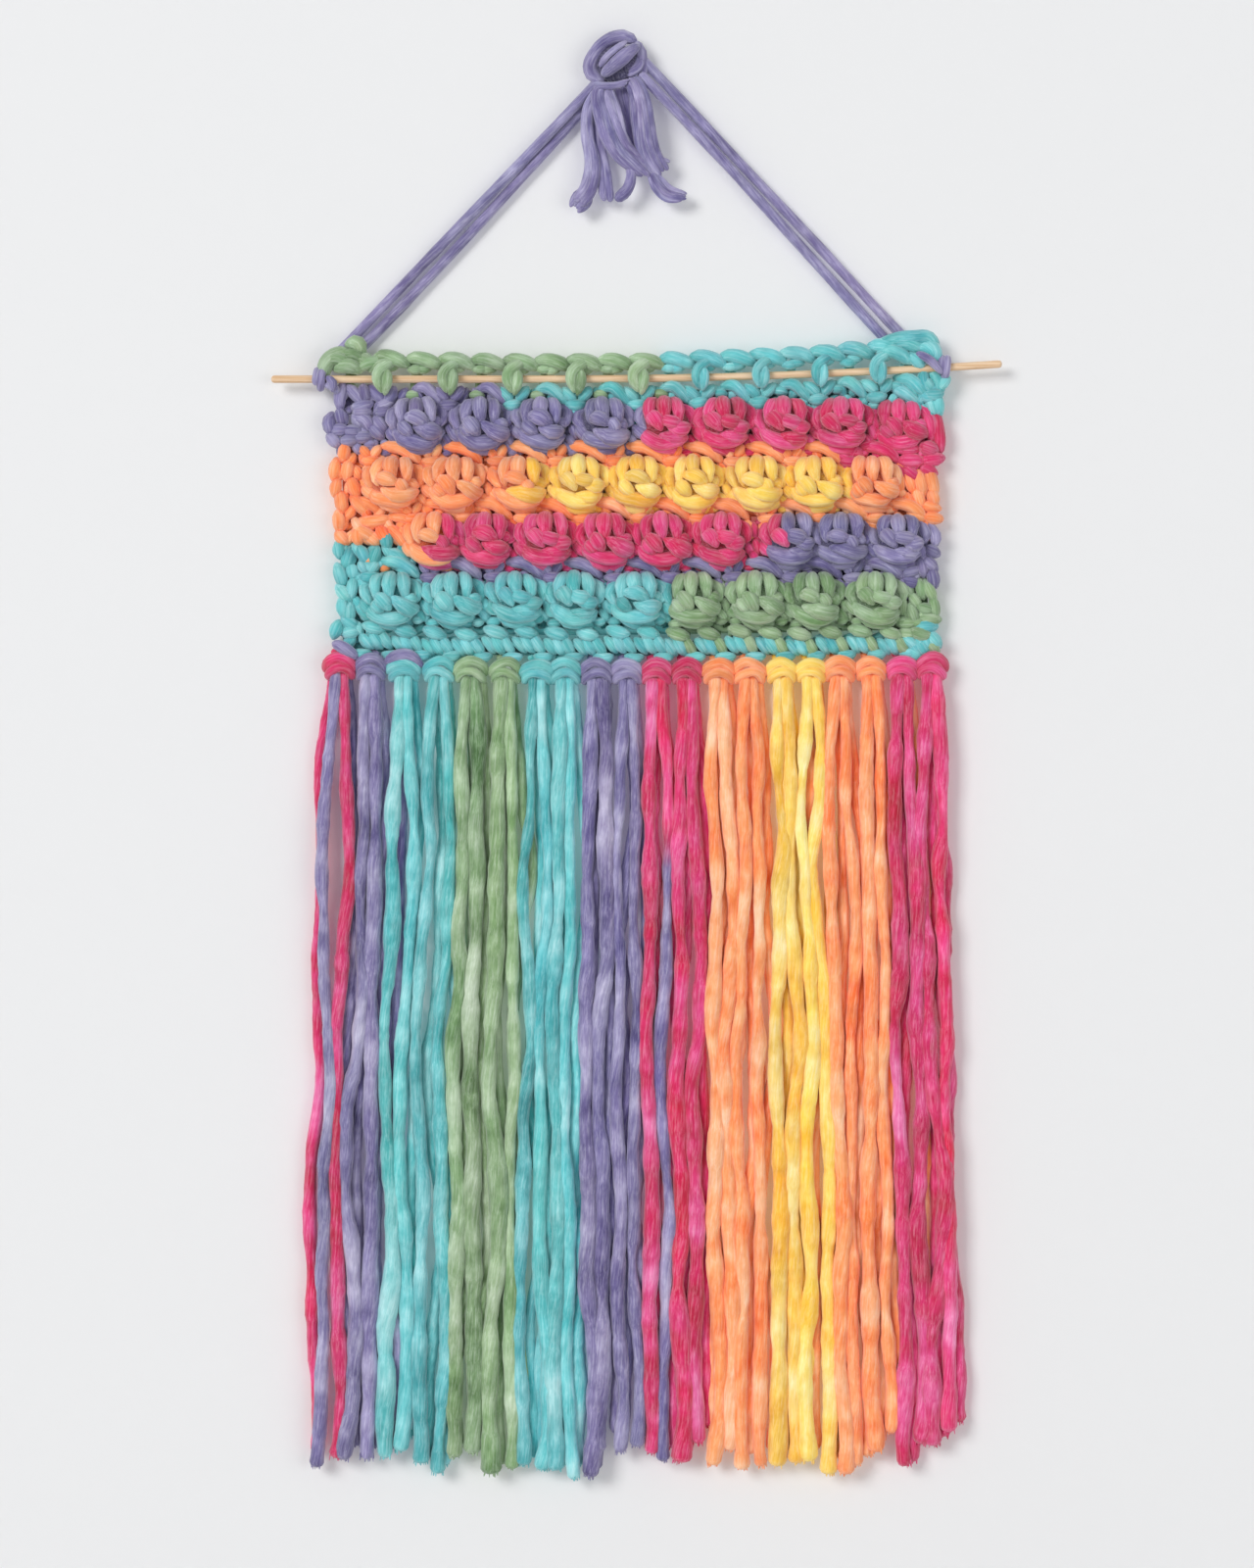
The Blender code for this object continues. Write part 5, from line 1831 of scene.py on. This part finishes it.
@dataclass
class Studio:
    """The pale wall and floor, the soft lights and the camera straight in front."""

    distance: float = 1.6
    centre: Point = (0.0033, -0.008, -0.2893)
    view_height: float = 0.6538
    wall_gap: float = 0.0006
    floor: float = -0.72
    sensor: float = 36.0
    sky: Colour = (0.95, 0.97, 1.0)
    sky_strength: float = 0.465
    finish: WallFinish = field(default_factory=WallFinish)

    def build(self) -> None:
        """Set everything up."""
        upright = (math.radians(90), 0.0, 0.0)
        surfaces = bpy.data.collections.new("wall_and_floor")
        surfaces.objects.link(self._plane("wall", (0.0, self.wall_gap, -0.29), upright, 3.0))
        surfaces.objects.link(self._plane("floor", (0.0, -1.2, self.floor), (0.0, 0.0, 0.0), 3.0))
        for surface in surfaces.collection_objects:
            surface.light_linking.link_state = "EXCLUDE"
        self._light("key_light", (-3.0, -4.5, 1.6), (2.1, 2.1), 174.0)
        self._light("fill_light", (1.2, -1.9, -0.5), (1.4, 1.2), 10.9)
        back_light = self._light("back_light", (0.3, 4.0, 0.4), (1.6, 1.6), 100.0)
        back_light.light_linking.blocker_collection = surfaces
        back_light.light_linking.receiver_collection = surfaces
        world = bpy.data.worlds.new("pale_studio")
        world.use_nodes = True
        world.node_tree.nodes["Background"].inputs["Color"].default_value = (*self.sky, 1.0)
        world.node_tree.nodes["Background"].inputs["Strength"].default_value = self.sky_strength
        bpy.context.scene.world = world
        bpy.context.scene.view_settings.view_transform = "Standard"
        camera = bpy.data.cameras.new("camera")
        camera.sensor_width = self.sensor
        camera.lens = self.distance * self.sensor / self.view_height
        holder = bpy.data.objects.new("camera", camera)
        holder.location = (self.centre[0], self.centre[1] - self.distance, self.centre[2])
        holder.rotation_euler = upright
        bpy.context.collection.objects.link(holder)
        bpy.context.scene.camera = holder

    def _plane(self, name: str, location: Point, turn: Point, size: float) -> bpy.types.Object:
        """Put in one flat pale surface, which isn't part of the object.

        Args:
            name: its name.
            location: its middle in metres.
            turn: its rotation in radians.
            size: the length of its sides in metres.

        Returns:
            The surface.
        """
        bm = bmesh.new()
        bmesh.ops.create_grid(bm, x_segments=1, y_segments=1, size=size / 2)
        mesh = bpy.data.meshes.new(name)
        bm.to_mesh(mesh)
        bm.free()
        material = bpy.data.materials.get(self.finish.name) or self.finish.material()
        mesh.materials.append(material)
        plane = bpy.data.objects.new(name, mesh)
        plane.location = location
        plane.rotation_euler = turn
        bpy.context.collection.objects.link(plane)
        return plane

    def _light(self, name: str, location: Point, size: Point, power: float) -> bpy.types.Object:
        """Put in one soft light that faces the hanging.

        Args:
            name: its name.
            location: its middle in metres.
            size: its width and height in metres.
            power: its power in watts.

        Returns:
            The light.
        """
        light = bpy.data.lights.new(name, "AREA")
        light.shape = "RECTANGLE"
        light.size, light.size_y = size
        light.energy = power
        holder = bpy.data.objects.new(name, light)
        holder.location = location
        aim = Vector(self.centre) - Vector(location)
        holder.rotation_euler = aim.to_track_quat("-Z", "Y").to_euler()
        bpy.context.collection.objects.link(holder)
        return holder


def main() -> None:
    """Build every sub-assembly, then the studio."""
    logging.basicConfig(level=logging.INFO, format="%(name)s: %(message)s")
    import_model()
    wool = YarnFinish()
    dowel = Dowel().build()
    ground = Ground(wool)
    pieces = [*Heading(wool).build(), *Bobbles(wool).build(), *PlainRows(wool).build(), *Edges(wool).build(),
              UnderStitches(wool).build(ground), BackStitches(wool).build()]
    ground.build(dowel, pieces)
    Fringe(wool).build()
    Hanger(wool).build()
    Ties(wool).build()
    HangingKnot(wool).build()
    Studio().build()


if __name__ == "__main__":
    main()
